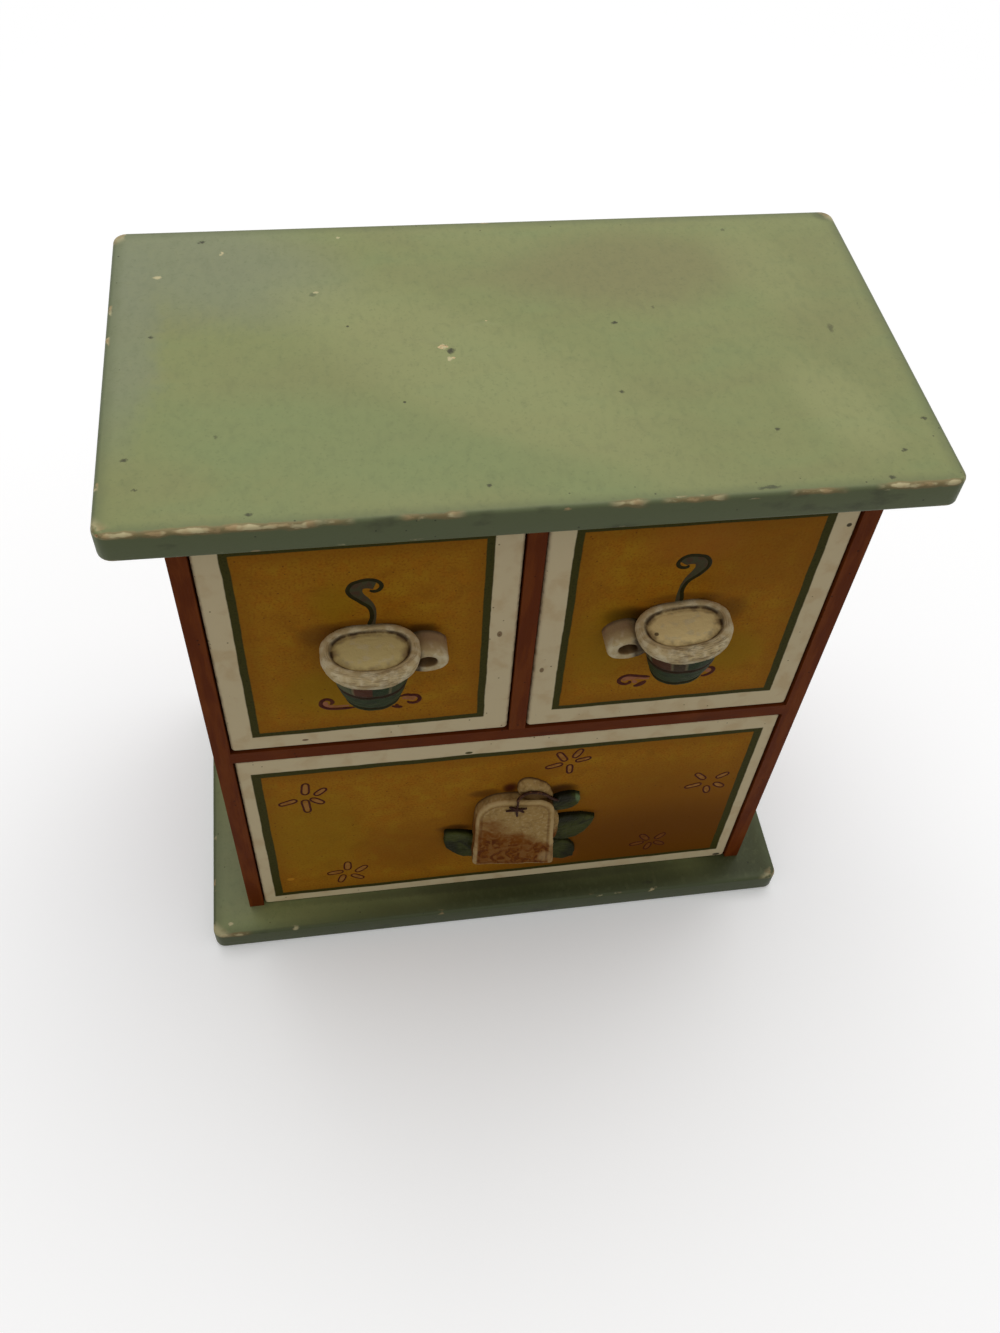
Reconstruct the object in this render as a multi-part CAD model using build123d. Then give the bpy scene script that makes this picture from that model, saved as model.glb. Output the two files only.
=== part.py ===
"""A small painted tea cabinet: a wooden case on a base board, with three drawers and cast resin knobs.

Millimetres. The origin is the middle of the base board's underside, +Z is up and the front faces -Y.
"""

import os
from math import atan2, degrees, hypot, pi, radians, sin, tan

from build123d import *

# Top and base boards
board_thickness = 9.5
board_corner_radius = 4.0
board_edge_radius = 1.2
board_side_overhang = 14.3
board_front_overhang = 11.5

# Case
case_width = 200.0
case_depth = 115.5
case_height = 216.0
panel_thickness = 5.5
shelf_underside = 103.5
back_panel_thickness = 3.0
back_rebate_width = 2.5
back_panel_clearance = 0.2

# Drawer fronts, and the boxes behind them
reveal = 0.5
front_setback = 0.4
front_thickness = 8.0
front_edge_radius = 1.3
front_corner_radius = 1.5
box_side_clearance = 0.8
box_top_clearance = 3.0
box_back_clearance = 0.5
box_board_thickness = 5.0
box_front_lap = 4.5
box_bottom_thickness = 2.5
box_bottom_height = 4.0
box_groove_depth = 2.0
groove_clearance = 0.1

# Dowels, nails and pins, with the play round each one in its hole
hole_play = 0.03
dowel_radius = 1.5
dowel_length = 14.0
dowel_depth_in_top = 6.5
nail_radius = 0.7
nail_head_radius = 1.5
nail_head_height = 0.8
nail_length = 25.0
pin_radius = 0.5
pin_head_radius = 0.9
pin_head_height = 0.4
pin_length = 9.0
end_margin = 14.0

# Knob screws
screw_radius = 1.5
screw_head_radius = 3.0
screw_head_height = 2.0
screw_bite = 5.0
screw_recess_radius = 1.4
screw_recess_depth = 1.2
screw_slot_width = 0.8

# Cup knob
cup_rim_half_width = 14.55
cup_rim_front_depth = 13.4
cup_rim_back_depth = 9.4
cup_rim_centre = 8.2
cup_rim_height = 4.4
cup_rim_round = 1.7
cup_rim_level = 12.2
cup_tea_half_width = 11.7
cup_tea_front_depth = 8.2
cup_tea_back_depth = 6.3
cup_tea_centre = 8.4
cup_tea_depth = 1.2
cup_neck_inset = 2.8
cup_height = 25.0
cup_foot_half_width = 8.5
cup_foot_front_depth = 7.4
cup_foot_back_depth = 7.0
cup_foot_centre = 6.2
cup_foot_height = 1.4
cup_foot_inset = 0.6
cup_foot_lean = 1.1
cup_wall_stations = 5
cup_handle_offset = 16.5
cup_handle_level = 2.6
cup_handle_half_width = 6.7
cup_handle_half_height = 4.9
cup_handle_hole_offset = 17.4
cup_handle_hole_radius = 2.85
cup_handle_length = 8.5
cup_handle_round = 0.8
cup_drop = 4.7
left_cup_tilt = 0.5
left_cup_shift = 0.7
right_cup_tilt = 6.5
right_cup_shift = -1.9

# Tag knob
tag_width = 29.5
tag_height = 37.0
tag_shoulder_radius = 9.5
tag_foot_radius = 1.5
tag_edge_round = 0.7
tag_top_thickness = 4.9
tag_foot_thickness = 10.2
tag_tilt = 1.5
tag_turn = 4.5
tag_drop = 2.2
tag_shift = 2.0
bag_width = 31.0
bag_height = 26.0
bag_corner_radius = 8.0
bag_offset = 2.1
bag_foot_gap = 0.5
bag_thickness = 3.8
bag_edge_round = 1.6
fold_half_width = 10.2
fold_half_height = 5.6
fold_offset = 7.3
fold_rise = 0.0
fold_slope = 60.0
fold_thickness = 4.2
leaf_thickness = 2.6
leaf_edge_round = 0.8

# Leaves of the tag knob: the stalk end and tip of each, across and up from the tag's nearest corner,
# and its width
left_leaf_stalk_x = 5.5
left_leaf_stalk_z = -5.0
left_leaf_tip_x = -10.25
left_leaf_tip_z = 14.3
left_leaf_width = 14.5
right_leaf_stalk_x = -3.75
right_leaf_stalk_z = 5.5
right_leaf_tip_x = 16.25
right_leaf_tip_z = 15.5
right_leaf_width = 18.0
low_leaf_stalk_x = -3.75
low_leaf_stalk_z = 0.0
low_leaf_tip_x = 11.25
low_leaf_tip_z = -13.0
low_leaf_width = 14.0
high_leaf_stalk_x = -2.25
high_leaf_stalk_z = -12.0
high_leaf_tip_x = 9.75
high_leaf_tip_z = -4.0
high_leaf_width = 11.0

tag_left, tag_right = -tag_width / 2, tag_width / 2
tag_foot, tag_head = -tag_height / 2, tag_height / 2
leaves = [
    (
        (tag_left + left_leaf_stalk_x, tag_foot + left_leaf_stalk_z),
        (tag_left + left_leaf_tip_x, tag_foot + left_leaf_tip_z),
        left_leaf_width,
    ),
    (
        (tag_right + right_leaf_stalk_x, tag_foot + right_leaf_stalk_z),
        (tag_right + right_leaf_tip_x, tag_foot + right_leaf_tip_z),
        right_leaf_width,
    ),
    (
        (tag_right + low_leaf_stalk_x, tag_foot + low_leaf_stalk_z),
        (tag_right + low_leaf_tip_x, tag_foot + low_leaf_tip_z),
        low_leaf_width,
    ),
    (
        (tag_right + high_leaf_stalk_x, tag_head + high_leaf_stalk_z),
        (tag_right + high_leaf_tip_x, tag_head + high_leaf_tip_z),
        high_leaf_width,
    ),
]

board_width = case_width + 2 * board_side_overhang
board_depth = case_depth + board_front_overhang
case_front = -board_depth / 2 + board_front_overhang
case_back = case_front + case_depth
case_floor = board_thickness
case_top = case_floor + case_height
shelf_bottom = case_floor + shelf_underside
shelf_top = shelf_bottom + panel_thickness
inside_half_width = case_width / 2 - panel_thickness
back_panel_front = case_back - back_panel_thickness
front_face = case_front + front_setback

# Each drawer's opening in the case, as left, right, bottom and top
openings = {
    "upper_left": (-inside_half_width, -panel_thickness / 2, shelf_top, case_top),
    "upper_right": (panel_thickness / 2, inside_half_width, shelf_top, case_top),
    "lower": (-inside_half_width, inside_half_width, case_floor, shelf_bottom),
}

os.makedirs("parts", exist_ok=True)
nodes = {}


def block(left, right, front, back, bottom, top):
    """A plain board between six planes."""
    centre = ((left + right) / 2, (front + back) / 2, (bottom + top) / 2)
    return Pos(*centre) * Box(right - left, back - front, top - bottom)


def spread(low, high, count):
    """Evenly spaced places from low to high, both ends included."""
    return [low + (high - low) * i / (count - 1) for i in range(count)]


def rod(point, direction, radius, length):
    """A round rod that starts at a point and runs along a direction."""
    start = Plane(origin=point, z_dir=direction)
    return start * Cylinder(radius, length, align=(Align.CENTER, Align.CENTER, Align.MIN))


def headed(point, direction, radius, length, head_radius, head_height, play=0.0):
    """A nail or pin whose head's outer face is at a point, or its hole where play is given."""
    shank = rod(point, direction, radius + play, length + play)
    return shank + rod(point, direction, head_radius + play, head_height + play)


def nail(point, direction, play=0.0):
    return headed(point, direction, nail_radius, nail_length, nail_head_radius, nail_head_height, play)


def pin(point, direction, play=0.0):
    return headed(point, direction, pin_radius, pin_length, pin_head_radius, pin_head_height, play)


def drilled(board, fastener, places):
    """A board with the holes for fasteners at some places."""
    for point, direction in places:
        board = board - fastener(point, direction, hole_play)
    return board


def group(solids):
    """Several separate solids that share one node."""
    return Compound(children=list(solids))


# Case

def plain_board(bottom):
    """The top or base board, with rounded corners and softened long edges."""
    half_width, half_depth = board_width / 2, board_depth / 2
    board = block(-half_width, half_width, -half_depth, half_depth, bottom, bottom + board_thickness)
    board = fillet(board.edges().filter_by(Axis.Z), board_corner_radius)
    faces = board.faces().sort_by(Axis.Z)
    return fillet(faces[0].edges() + faces[-1].edges(), board_edge_radius)


side_middle = case_width / 2 - panel_thickness / 2
nail_rows = spread(case_front + end_margin, back_panel_front - end_margin, 3)

base_nail_places = [((side * side_middle, y, 0), (0, 0, 1)) for side in (-1, 1) for y in nail_rows]
shelf_middle = (shelf_bottom + shelf_top) / 2
shelf_nail_places = [
    ((side * case_width / 2, y, shelf_middle), (-side, 0, 0)) for side in (-1, 1) for y in nail_rows
]
divider_nail_places = [((0, y, shelf_bottom), (0, 0, 1)) for y in nail_rows[::2]]
dowel_bottom = case_top + dowel_depth_in_top - dowel_length
dowel_lines = ((-side_middle, nail_rows), (0, nail_rows[::2]), (side_middle, nail_rows))
dowel_places = [((x, y, dowel_bottom), (0, 0, 1)) for x, rows in dowel_lines for y in rows]


def dowel(point, direction, play=0.0):
    start = tuple(p - d * play for p, d in zip(point, direction))
    return rod(start, direction, dowel_radius + play, dowel_length + 2 * play)


rebate_edge = case_width / 2 - panel_thickness + back_rebate_width
back_half_width = rebate_edge - back_panel_clearance
pin_line = (case_width / 2 - panel_thickness + back_half_width) / 2
pin_rows = spread(case_floor + end_margin, case_top - end_margin, 4)
back_pin_places = [((side * pin_line, case_back, z), (0, -1, 0)) for side in (-1, 1) for z in pin_rows]
back_pin_places += [((side * inside_half_width / 2, case_back, shelf_middle), (0, -1, 0)) for side in (-1, 1)]


def case_side(side):
    """A side panel, with a rebate down its rear inner edge for the back panel."""
    outer, inner = side * case_width / 2, side * inside_half_width
    panel = block(min(outer, inner), max(outer, inner), case_front, case_back, case_floor, case_top)
    ends = (inner, side * rebate_edge)
    panel = panel - block(min(ends), max(ends), back_panel_front, case_back, case_floor, case_top)
    panel = drilled(panel, nail, base_nail_places + shelf_nail_places)
    return drilled(drilled(panel, dowel, dowel_places), pin, back_pin_places)


nodes["base_board"] = drilled(plain_board(0), nail, base_nail_places)
nodes["top_board"] = drilled(plain_board(case_top), dowel, dowel_places)
nodes["case_left_side"] = case_side(-1)
nodes["case_right_side"] = case_side(1)

shelf = block(-inside_half_width, inside_half_width, case_front, back_panel_front, shelf_bottom, shelf_top)
shelf = drilled(shelf, nail, shelf_nail_places + divider_nail_places)
nodes["middle_shelf"] = drilled(shelf, pin, back_pin_places)

divider = block(-panel_thickness / 2, panel_thickness / 2, case_front, back_panel_front, shelf_top, case_top)
nodes["centre_divider"] = drilled(drilled(divider, nail, divider_nail_places), dowel, dowel_places)

back_panel = block(-back_half_width, back_half_width, back_panel_front, case_back, case_floor, case_top)
nodes["back_panel"] = drilled(back_panel, pin, back_pin_places)

nodes["base_nails"] = group(nail(*place) for place in base_nail_places)
nodes["shelf_nails"] = group(nail(*place) for place in shelf_nail_places)
nodes["divider_nails"] = group(nail(*place) for place in divider_nail_places)
nodes["top_dowels"] = group(dowel(*place) for place in dowel_places)
nodes["back_panel_pins"] = group(pin(*place) for place in back_pin_places)


# Knobs, each with the screw's axis at its origin and the drawer front at y = 0

def oval(half_width, front_depth, back_depth, centre, level):
    """A level oval face: half an ellipse in front of its widest line, and a shallower half behind it."""
    front = EllipticalCenterArc((0, -centre), half_width, front_depth, 180, arc_size=180)
    back = EllipticalCenterArc((0, -centre), half_width, back_depth, 0, arc_size=180)
    return Pos(0, 0, level) * make_face([front, back])


def inset_oval(size, inset, level):
    """The same oval, smaller by an inset all round."""
    half_width, front_depth, back_depth, centre = size
    return oval(half_width - inset, front_depth - inset, back_depth - inset, centre, level)


cup_rim_size = (cup_rim_half_width, cup_rim_front_depth, cup_rim_back_depth, cup_rim_centre)
cup_foot_size = (cup_foot_half_width, cup_foot_front_depth, cup_foot_back_depth, cup_foot_centre)
cup_tea_size = (cup_tea_half_width, cup_tea_front_depth, cup_tea_back_depth, cup_tea_centre)


def in_front_of_drawer(shape, reach):
    """The part of a casting that stands in front of its flat back."""
    return shape & block(-reach, reach, -reach, 0, -reach, reach)


def pilot_hole():
    return rod((0, 0, 0), (0, -1, 0), screw_radius + hole_play, screw_bite + hole_play)


def cup_wall():
    """The bowl: oval sections that widen and straighten from the leaning foot to the neck under the rim."""
    foot_level = cup_rim_level - cup_height + cup_foot_height
    neck_level = cup_rim_level - cup_rim_height
    neck = [size - cup_neck_inset for size in cup_rim_size[:3]] + [cup_rim_centre]
    sections = []
    for i in range(cup_wall_stations):
        share = i / (cup_wall_stations - 1)
        swell = sin(share * pi / 2)
        size = (f + (n - f) * swell for f, n in zip(cup_foot_size, neck))
        section = oval(*size, foot_level + (neck_level - foot_level) * share)
        sections.append(Pos(cup_foot_lean * (1 - swell), 0, 0) * section)
    return loft(sections)


def cup_foot():
    """The foot ring that the bowl stands on."""
    ring = inset_oval(cup_foot_size, cup_foot_inset, cup_rim_level - cup_height)
    return Pos(cup_foot_lean, 0, 0) * extrude(ring, cup_foot_height)


def cup_rim():
    """The thick rolled rim, with the tea's surface sunk in it."""
    rim = extrude(oval(*cup_rim_size, cup_rim_level - cup_rim_height), cup_rim_height)
    faces = rim.faces().sort_by(Axis.Z)
    rim = fillet(faces[0].edges() + faces[-1].edges(), cup_rim_round)
    return rim - extrude(oval(*cup_tea_size, cup_rim_level - cup_tea_depth), cup_tea_depth)


def cup_handle():
    """The handle: an oval strap ring whose hole runs from front to back."""
    middle = Pos(cup_handle_offset, cup_handle_level)
    outline = middle * Ellipse(cup_handle_half_width, cup_handle_half_height)
    hole = Pos(cup_handle_hole_offset, cup_handle_level) * Circle(cup_handle_hole_radius)
    ring = extrude(Plane.XZ * (outline - hole), cup_handle_length)
    return fillet(ring.faces().sort_by(Axis.Y)[0].edges(), cup_handle_round)


def cup_casting():
    reach = cup_rim_half_width + cup_handle_offset + cup_height
    return in_front_of_drawer(cup_wall() + cup_foot() + cup_rim() + cup_handle(), reach) - pilot_hole()


def tag_slab():
    """The tag: a tombstone whose face leans back and turns a little, thickest at its right foot."""
    lean = degrees(atan2(tag_foot_thickness - tag_top_thickness, tag_height))
    thickest = tag_foot_thickness + tag_width / 2 * tan(radians(tag_turn))
    outline = Rectangle(tag_width, tag_height)
    outline = fillet(outline.vertices().group_by(Axis.Y)[-1], tag_shoulder_radius)
    outline = fillet(outline.vertices().group_by(Axis.Y)[0], tag_foot_radius)
    slab = extrude(Plane.XZ * outline, thickest)
    face = Pos(0, -tag_foot_thickness, -tag_height / 2) * Rot(-lean, 0, -tag_turn)
    waste = Box(3 * tag_width, tag_height, 3 * tag_height, align=(Align.CENTER, Align.MAX, Align.CENTER))
    slab = slab - face * waste
    slab = fillet(slab.faces().sort_by(Axis.Y)[0].edges(), tag_edge_round)
    return Rot(0, tag_tilt, 0) * slab


def tea_bag():
    """The bag behind the tag, a low pillow a little wider than the tag."""
    middle = Pos(bag_offset, tag_foot + bag_foot_gap + bag_height / 2)
    outline = middle * RectangleRounded(bag_width, bag_height, bag_corner_radius)
    bag = extrude(Plane.XZ * outline, bag_thickness)
    return fillet(bag.faces().sort_by(Axis.Y)[0].edges(), bag_edge_round)


def bag_fold():
    """The folded top of the bag, a rounded lobe above the tag's right shoulder."""
    outline = Rot(0, 0, -fold_slope) * Ellipse(fold_half_width, fold_half_height)
    lobe = extrude(Plane.XZ * Pos(fold_offset, tag_head + fold_rise) * outline, fold_thickness)
    return fillet(lobe.faces().sort_by(Axis.Y)[0].edges(), bag_edge_round)


def leaf(stalk, tip, width):
    """A pointed leaf between two arcs."""
    along = hypot(tip[0] - stalk[0], tip[1] - stalk[1])
    middle = ((stalk[0] + tip[0]) / 2, (stalk[1] + tip[1]) / 2)
    across = ((stalk[1] - tip[1]) / along * width / 2, (tip[0] - stalk[0]) / along * width / 2)
    upper = ThreePointArc(stalk, (middle[0] + across[0], middle[1] + across[1]), tip)
    lower = ThreePointArc(tip, (middle[0] - across[0], middle[1] - across[1]), stalk)
    blade = extrude(Plane.XZ * make_face([upper, lower]), leaf_thickness)
    return fillet(blade.faces().sort_by(Axis.Y)[0].edges(), leaf_edge_round)


def tag_casting():
    casting = tea_bag() + tag_slab() + bag_fold()
    for stalk, tip, width in leaves:
        casting = casting + leaf(stalk, tip, width)
    return casting - pilot_hole()


def knob_screw():
    """A pan-head screw with a crossed recess, its head's seat on the back of the drawer front."""
    shank = rod((0, front_thickness, 0), (0, -1, 0), screw_radius, front_thickness + screw_bite)
    head = rod((0, front_thickness, 0), (0, 1, 0), screw_head_radius, screw_head_height)
    slot_floor = front_thickness + screw_head_height - screw_recess_depth
    slot_end = front_thickness + screw_head_height
    half = screw_slot_width / 2
    slot = block(-screw_recess_radius, screw_recess_radius, slot_floor, slot_end, -half, half)
    return shank + head - slot - Rot(0, 90, 0) * slot


# Drawers

cup = cup_casting()
knobs = {
    "upper_left": {"shape": Rot(0, left_cup_tilt, 0) * cup, "shift": left_cup_shift, "drop": cup_drop},
    "upper_right": {
        "shape": Rot(0, -right_cup_tilt, 0) * mirror(cup, Plane.YZ),
        "shift": right_cup_shift,
        "drop": cup_drop,
    },
    "lower": {"shape": tag_casting(), "shift": tag_shift, "drop": tag_drop},
}


def make_drawer(name, opening, knob):
    """One drawer: a lapped front, two grooved sides, a back, a bottom, its knob and the nails."""
    left, right, bottom, top = opening
    front_back = front_face + front_thickness
    lap_face = front_back - box_front_lap
    box_left, box_right = left + box_side_clearance, right - box_side_clearance
    box_back = back_panel_front - box_back_clearance
    box_top = top - box_top_clearance
    inner_left, inner_right = box_left + box_board_thickness, box_right - box_board_thickness
    panel_bottom = bottom + box_bottom_height
    panel_top = panel_bottom + box_bottom_thickness
    groove_left, groove_right = inner_left - box_groove_depth, inner_right + box_groove_depth
    groove_front = front_back - box_groove_depth
    back_front = box_back - box_board_thickness
    knob_x = (left + right) / 2 + knob["shift"]
    knob_z = (bottom + top) / 2 - knob["drop"]
    at_knob = Pos(knob_x, front_face, knob_z)

    groove = block(
        groove_left - groove_clearance,
        groove_right + groove_clearance,
        groove_front - groove_clearance,
        box_back,
        panel_bottom,
        panel_top,
    )
    lap_line = (lap_face + front_back) / 2
    back_line = (back_front + box_back) / 2
    rows = spread(panel_top + end_margin, box_top - end_margin, 3)
    side_pins = [
        ((x, y, z), (direction, 0, 0))
        for x, direction in ((box_left, 1), (box_right, -1))
        for y in (lap_line, back_line)
        for z in rows
    ]
    bottom_pins = [
        ((x, back_line, panel_bottom), (0, 0, 1))
        for x in spread(inner_left + end_margin, inner_right - end_margin, 3)
    ]

    front = block(left + reveal, right - reveal, front_face, front_back, bottom + reveal, top - reveal)
    front = fillet(front.edges().filter_by(Axis.Y), front_corner_radius)
    front = fillet(front.faces().sort_by(Axis.Y)[0].edges(), front_edge_radius)
    front = front - block(left, inner_left, lap_face, front_back, bottom, top)
    front = front - block(inner_right, right, lap_face, front_back, bottom, top) - groove
    front = front - at_knob * rod((0, 0, 0), (0, 1, 0), screw_radius + hole_play, front_thickness)
    nodes[name + "_drawer_front"] = drilled(front, pin, side_pins)

    for side, low, high in (("left", box_left, inner_left), ("right", inner_right, box_right)):
        board = block(low, high, lap_face, box_back, bottom, box_top) - groove
        nodes[f"{name}_drawer_{side}_side"] = drilled(board, pin, side_pins)

    back = block(inner_left, inner_right, back_front, box_back, panel_top, box_top)
    nodes[name + "_drawer_back"] = drilled(back, pin, side_pins + bottom_pins)

    panel = block(groove_left, groove_right, groove_front, box_back, panel_bottom, panel_top)
    nodes[name + "_drawer_bottom"] = drilled(panel, pin, bottom_pins)

    nodes[name + "_drawer_knob"] = at_knob * knob["shape"]
    nodes[name + "_drawer_knob_screw"] = at_knob * knob_screw()
    nodes[name + "_drawer_pins"] = group(pin(*place) for place in side_pins + bottom_pins)

    clear_front = front_back + screw_head_height
    inside = (inner_left, clear_front, panel_top, inner_right, back_front, box_top)
    print(name, "inside", [round(v, 2) for v in inside])


for name, opening in openings.items():
    make_drawer(name, opening, knobs[name])

for name, shape in nodes.items():
    shape.label = name
    export_step(shape, f"parts/{name}.step")
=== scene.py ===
import math

import bmesh
import bpy
from mathutils import Matrix, Vector


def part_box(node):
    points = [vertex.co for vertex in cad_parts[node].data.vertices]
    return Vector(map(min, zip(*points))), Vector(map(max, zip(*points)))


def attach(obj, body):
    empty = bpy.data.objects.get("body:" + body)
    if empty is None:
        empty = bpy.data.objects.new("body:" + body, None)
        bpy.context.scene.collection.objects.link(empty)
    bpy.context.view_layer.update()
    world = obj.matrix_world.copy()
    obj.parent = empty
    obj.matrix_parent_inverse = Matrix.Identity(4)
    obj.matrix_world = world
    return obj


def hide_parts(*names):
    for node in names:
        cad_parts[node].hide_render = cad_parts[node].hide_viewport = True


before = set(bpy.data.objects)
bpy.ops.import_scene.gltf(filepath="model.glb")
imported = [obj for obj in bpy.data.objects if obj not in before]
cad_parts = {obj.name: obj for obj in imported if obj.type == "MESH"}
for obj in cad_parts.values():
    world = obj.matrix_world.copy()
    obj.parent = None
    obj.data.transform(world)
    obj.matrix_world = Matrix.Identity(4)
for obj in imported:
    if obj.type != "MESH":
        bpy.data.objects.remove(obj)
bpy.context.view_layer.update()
bpy.ops.object.select_all(action="DESELECT")


# Case: two side panels, a shelf and a divider of thin softwood board, nailed and dowelled together
# and painted a satin red brown, which is rubbed dark and bright along its front edges.

mm = 0.001


class Wire:
    """A value on its way through a finish's nodes, so that shader maths reads as plain arithmetic."""

    def __init__(self, finish, socket):
        self.finish = finish
        self.socket = socket

    def __add__(self, other):
        return self.finish.maths("ADD", self, other)

    __radd__ = __add__

    def __sub__(self, other):
        return self.finish.maths("SUBTRACT", self, other)

    def __rsub__(self, other):
        return self.finish.maths("SUBTRACT", other, self)

    def __mul__(self, other):
        return self.finish.maths("MULTIPLY", self, other)

    __rmul__ = __mul__

    def __truediv__(self, other):
        return self.finish.maths("DIVIDE", self, other)

    def __pow__(self, power):
        return self.finish.maths("POWER", self, power)

    def __abs__(self):
        return self.finish.maths("ABSOLUTE", self)

    def least(self, other):
        return self.finish.maths("MINIMUM", self, other)

    def most(self, other):
        return self.finish.maths("MAXIMUM", self, other)

    def wave(self):
        return self.finish.maths("SINE", self)

    def rise(self, low, high):
        """0 up to low and 1 from high, smooth between them; it falls where low is above high."""
        places = {"Value": self, "From Min": low, "From Max": high}
        return self.finish.node("ShaderNodeMapRange", {"interpolation_type": "SMOOTHSTEP"}, places)


class Finish:
    """One painted, bare or cast finish: its material, and the nodes that colour it by place, in mm."""

    def __init__(self, name, roughness=0.5, specular=0.5, constants=None):
        self.material = bpy.data.materials.new(name)
        self.material.use_nodes = True
        self.tree = self.material.node_tree
        self.shader = self.tree.nodes["Principled BSDF"]
        constants = {"Roughness": roughness, "Specular IOR Level": specular, **(constants or {})}
        for socket, value in constants.items():
            self.shader.inputs[socket].default_value = value
        metres = self.node("ShaderNodeTexCoord", output="Object")
        scaled = {"Vector": metres, "Scale": 1 / mm}
        self.place = self.node("ShaderNodeVectorMath", {"operation": "SCALE"}, scaled)
        self.x, self.y, self.z = self.parts(self.place)

    def node(self, kind, settings=None, sockets=None, output=0):
        """Adds a node: first its settings, then its sockets' values or links. Gives one of its outputs."""
        made = self.tree.nodes.new(kind)
        for name, value in (settings or {}).items():
            setattr(made, name, value)
        for name, value in (sockets or {}).items():
            if isinstance(value, Wire):
                self.tree.links.new(value.socket, made.inputs[name])
            else:
                made.inputs[name].default_value = value
        return Wire(self, made.outputs[output])

    def maths(self, operation, first, second=0.0):
        """One step of arithmetic on wires or numbers."""
        return self.node("ShaderNodeMath", {"operation": operation}, {0: first, 1: second})

    def parts(self, vector):
        first = self.node("ShaderNodeSeparateXYZ", {}, {"Vector": vector})
        return [Wire(self, socket) for socket in first.socket.node.outputs]

    def stretched(self, factors):
        """The place with its axes scaled, for patterns that are longer one way than the other."""
        return self.node("ShaderNodeVectorMath", {"operation": "MULTIPLY"}, {0: self.place, 1: factors})

    def noise(self, scale, detail=3.0, place=None, distortion=0.0):
        sockets = {"Scale": scale, "Detail": detail, "Distortion": distortion}
        return self.node("ShaderNodeTexNoise", {}, {"Vector": place or self.place, **sockets})

    def specks(self, scale, radius, share):
        """Small round specks in a share of the cells of a scattered pattern, radius in cell widths."""
        cells = self.node("ShaderNodeTexVoronoi", {}, {"Vector": self.place, "Scale": scale})
        chance = self.parts(Wire(self, cells.socket.node.outputs["Color"]))[0]
        return cells.rise(radius, radius * 0.6) * chance.rise(share + 0.01, share - 0.01)

    def patch(self, across, up, middle, radii, soft=1.0):
        """An oval patch: 1 at its middle, 0 at its edge, and flat inside where soft is below 1."""
        first = (across - middle[0]) / radii[0]
        second = (up - middle[1]) / radii[1]
        return (first * first + second * second).rise(1.0, 1.0 - soft)

    def patches(self, across, up, places, soft=1.0):
        """Coats for oval patches, each given as its middle, radii, colour and strength."""
        return [(hue, self.patch(across, up, at, radii, soft) * full) for at, radii, hue, full in places]

    def over(self, colour, *coats):
        """Lays coats over a colour one by one, each a colour and a mask that is 1 where it covers."""
        for coat, mask in coats:
            colour = self.node("ShaderNodeMix", {"data_type": "RGBA"}, {0: mask, 6: colour, 7: coat}, 2)
        return colour

    def feed(self, socket, wire):
        self.tree.links.new(wire.socket, self.shader.inputs[socket])

    def apply(self, colour, height, depth, roughness=None):
        """Feeds the shader a colour, bumps of a depth in metres from a height of 0 to 1, and a roughness."""
        self.feed("Base Color", colour)
        self.feed("Normal", self.node("ShaderNodeBump", {}, {"Distance": depth, "Height": height}))
        if roughness:
            self.feed("Roughness", roughness)


def tint(red, green, blue):
    """A colour from its three values of 0 to 255, as a node's linear colour."""
    shares = [value / 255 for value in (red, green, blue)]
    return tuple(s / 12.92 if s < 0.04 else ((s + 0.055) / 1.055) ** 2.4 for s in shares) + (1.0,)


def dress(names, finish):
    """Gives CAD nodes a finish."""
    for name in names:
        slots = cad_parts[name].data.materials
        slots.clear()
        slots.append(finish.material)


case_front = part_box("case_left_side")[0].y / mm

red_brown = tint(97, 42, 10)
red_brown_dark = tint(56, 25, 10)
red_brown_rubbed = tint(130, 66, 22)

uprights = ["case_left_side", "case_right_side", "centre_divider", "shelf_nails"]
for name, along, rubbed, nodes in (
    ("red_brown_upright", (1, 1, 0.15), 0.5, uprights),
    ("red_brown_shelf", (0.15, 1, 1), 0.1, ["middle_shelf"]),
):
    case_paint = Finish(name, 0.55, 0.06)
    streaks = case_paint.noise(0.25, 4, case_paint.stretched(along))
    mottle = case_paint.noise(0.06, 3)
    grain = case_paint.noise(1.4, 3, case_paint.stretched(along))
    front_edge = case_paint.y.rise(case_front + 2.2, case_front + 0.3)
    colour = case_paint.over(
        red_brown,
        (red_brown_dark, streaks.rise(0.52, 0.72) * 0.55),
        (red_brown_rubbed, mottle.rise(0.5, 0.75) * 0.35),
        (red_brown_rubbed, front_edge * streaks.rise(0.42, 0.6) * rubbed),
        (red_brown_dark, case_paint.specks(0.35, 0.16, 0.3) * 0.8),
    )
    case_paint.apply(colour, grain * 0.6 + streaks * 0.4, 0.00012)
    dress(nodes, case_paint)


# Top and base boards: thick green boards with rounded corners, standing out in front and at the sides.
# The paint is mottled by the brush, and chipped and rubbed to pale wood along the edges.
# Some patches are painted sheen and painted shade.

board_corner = 4.0
board_arris = 1.2
board_grid = 12  # the faces are cut into this many strips each way, so that none is long and thin

green = tint(129, 134, 86)
# A painted sheen of reflected light, laid on in patches
green_blue_sheen = tint(126, 131, 104)
green_brown = tint(126, 124, 82)
green_dark = tint(88, 96, 66)
green_fresh = tint(123, 135, 88)
green_pale = tint(136, 139, 92)
green_light = tint(147, 149, 100)
worn_pale = tint(192, 180, 138)
worn_orange = tint(152, 118, 76)
grime_dark = tint(44, 42, 28)


def alone(piece, *others):
    """Selects a piece, and any others with it, and nothing else, and makes the piece the active one."""
    bpy.ops.object.select_all(action="DESELECT")
    for item in (piece, *others):
        item.select_set(True)
    bpy.context.view_layer.objects.active = piece


def begin(add, **where):
    """Adds a primitive at its size and place, and opens it for editing with nothing else selected."""
    bpy.ops.object.select_all(action="DESELECT")
    add(**where)
    bpy.ops.object.transform_apply(location=True, rotation=True, scale=True)
    bpy.ops.object.mode_set(mode="EDIT")


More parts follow.
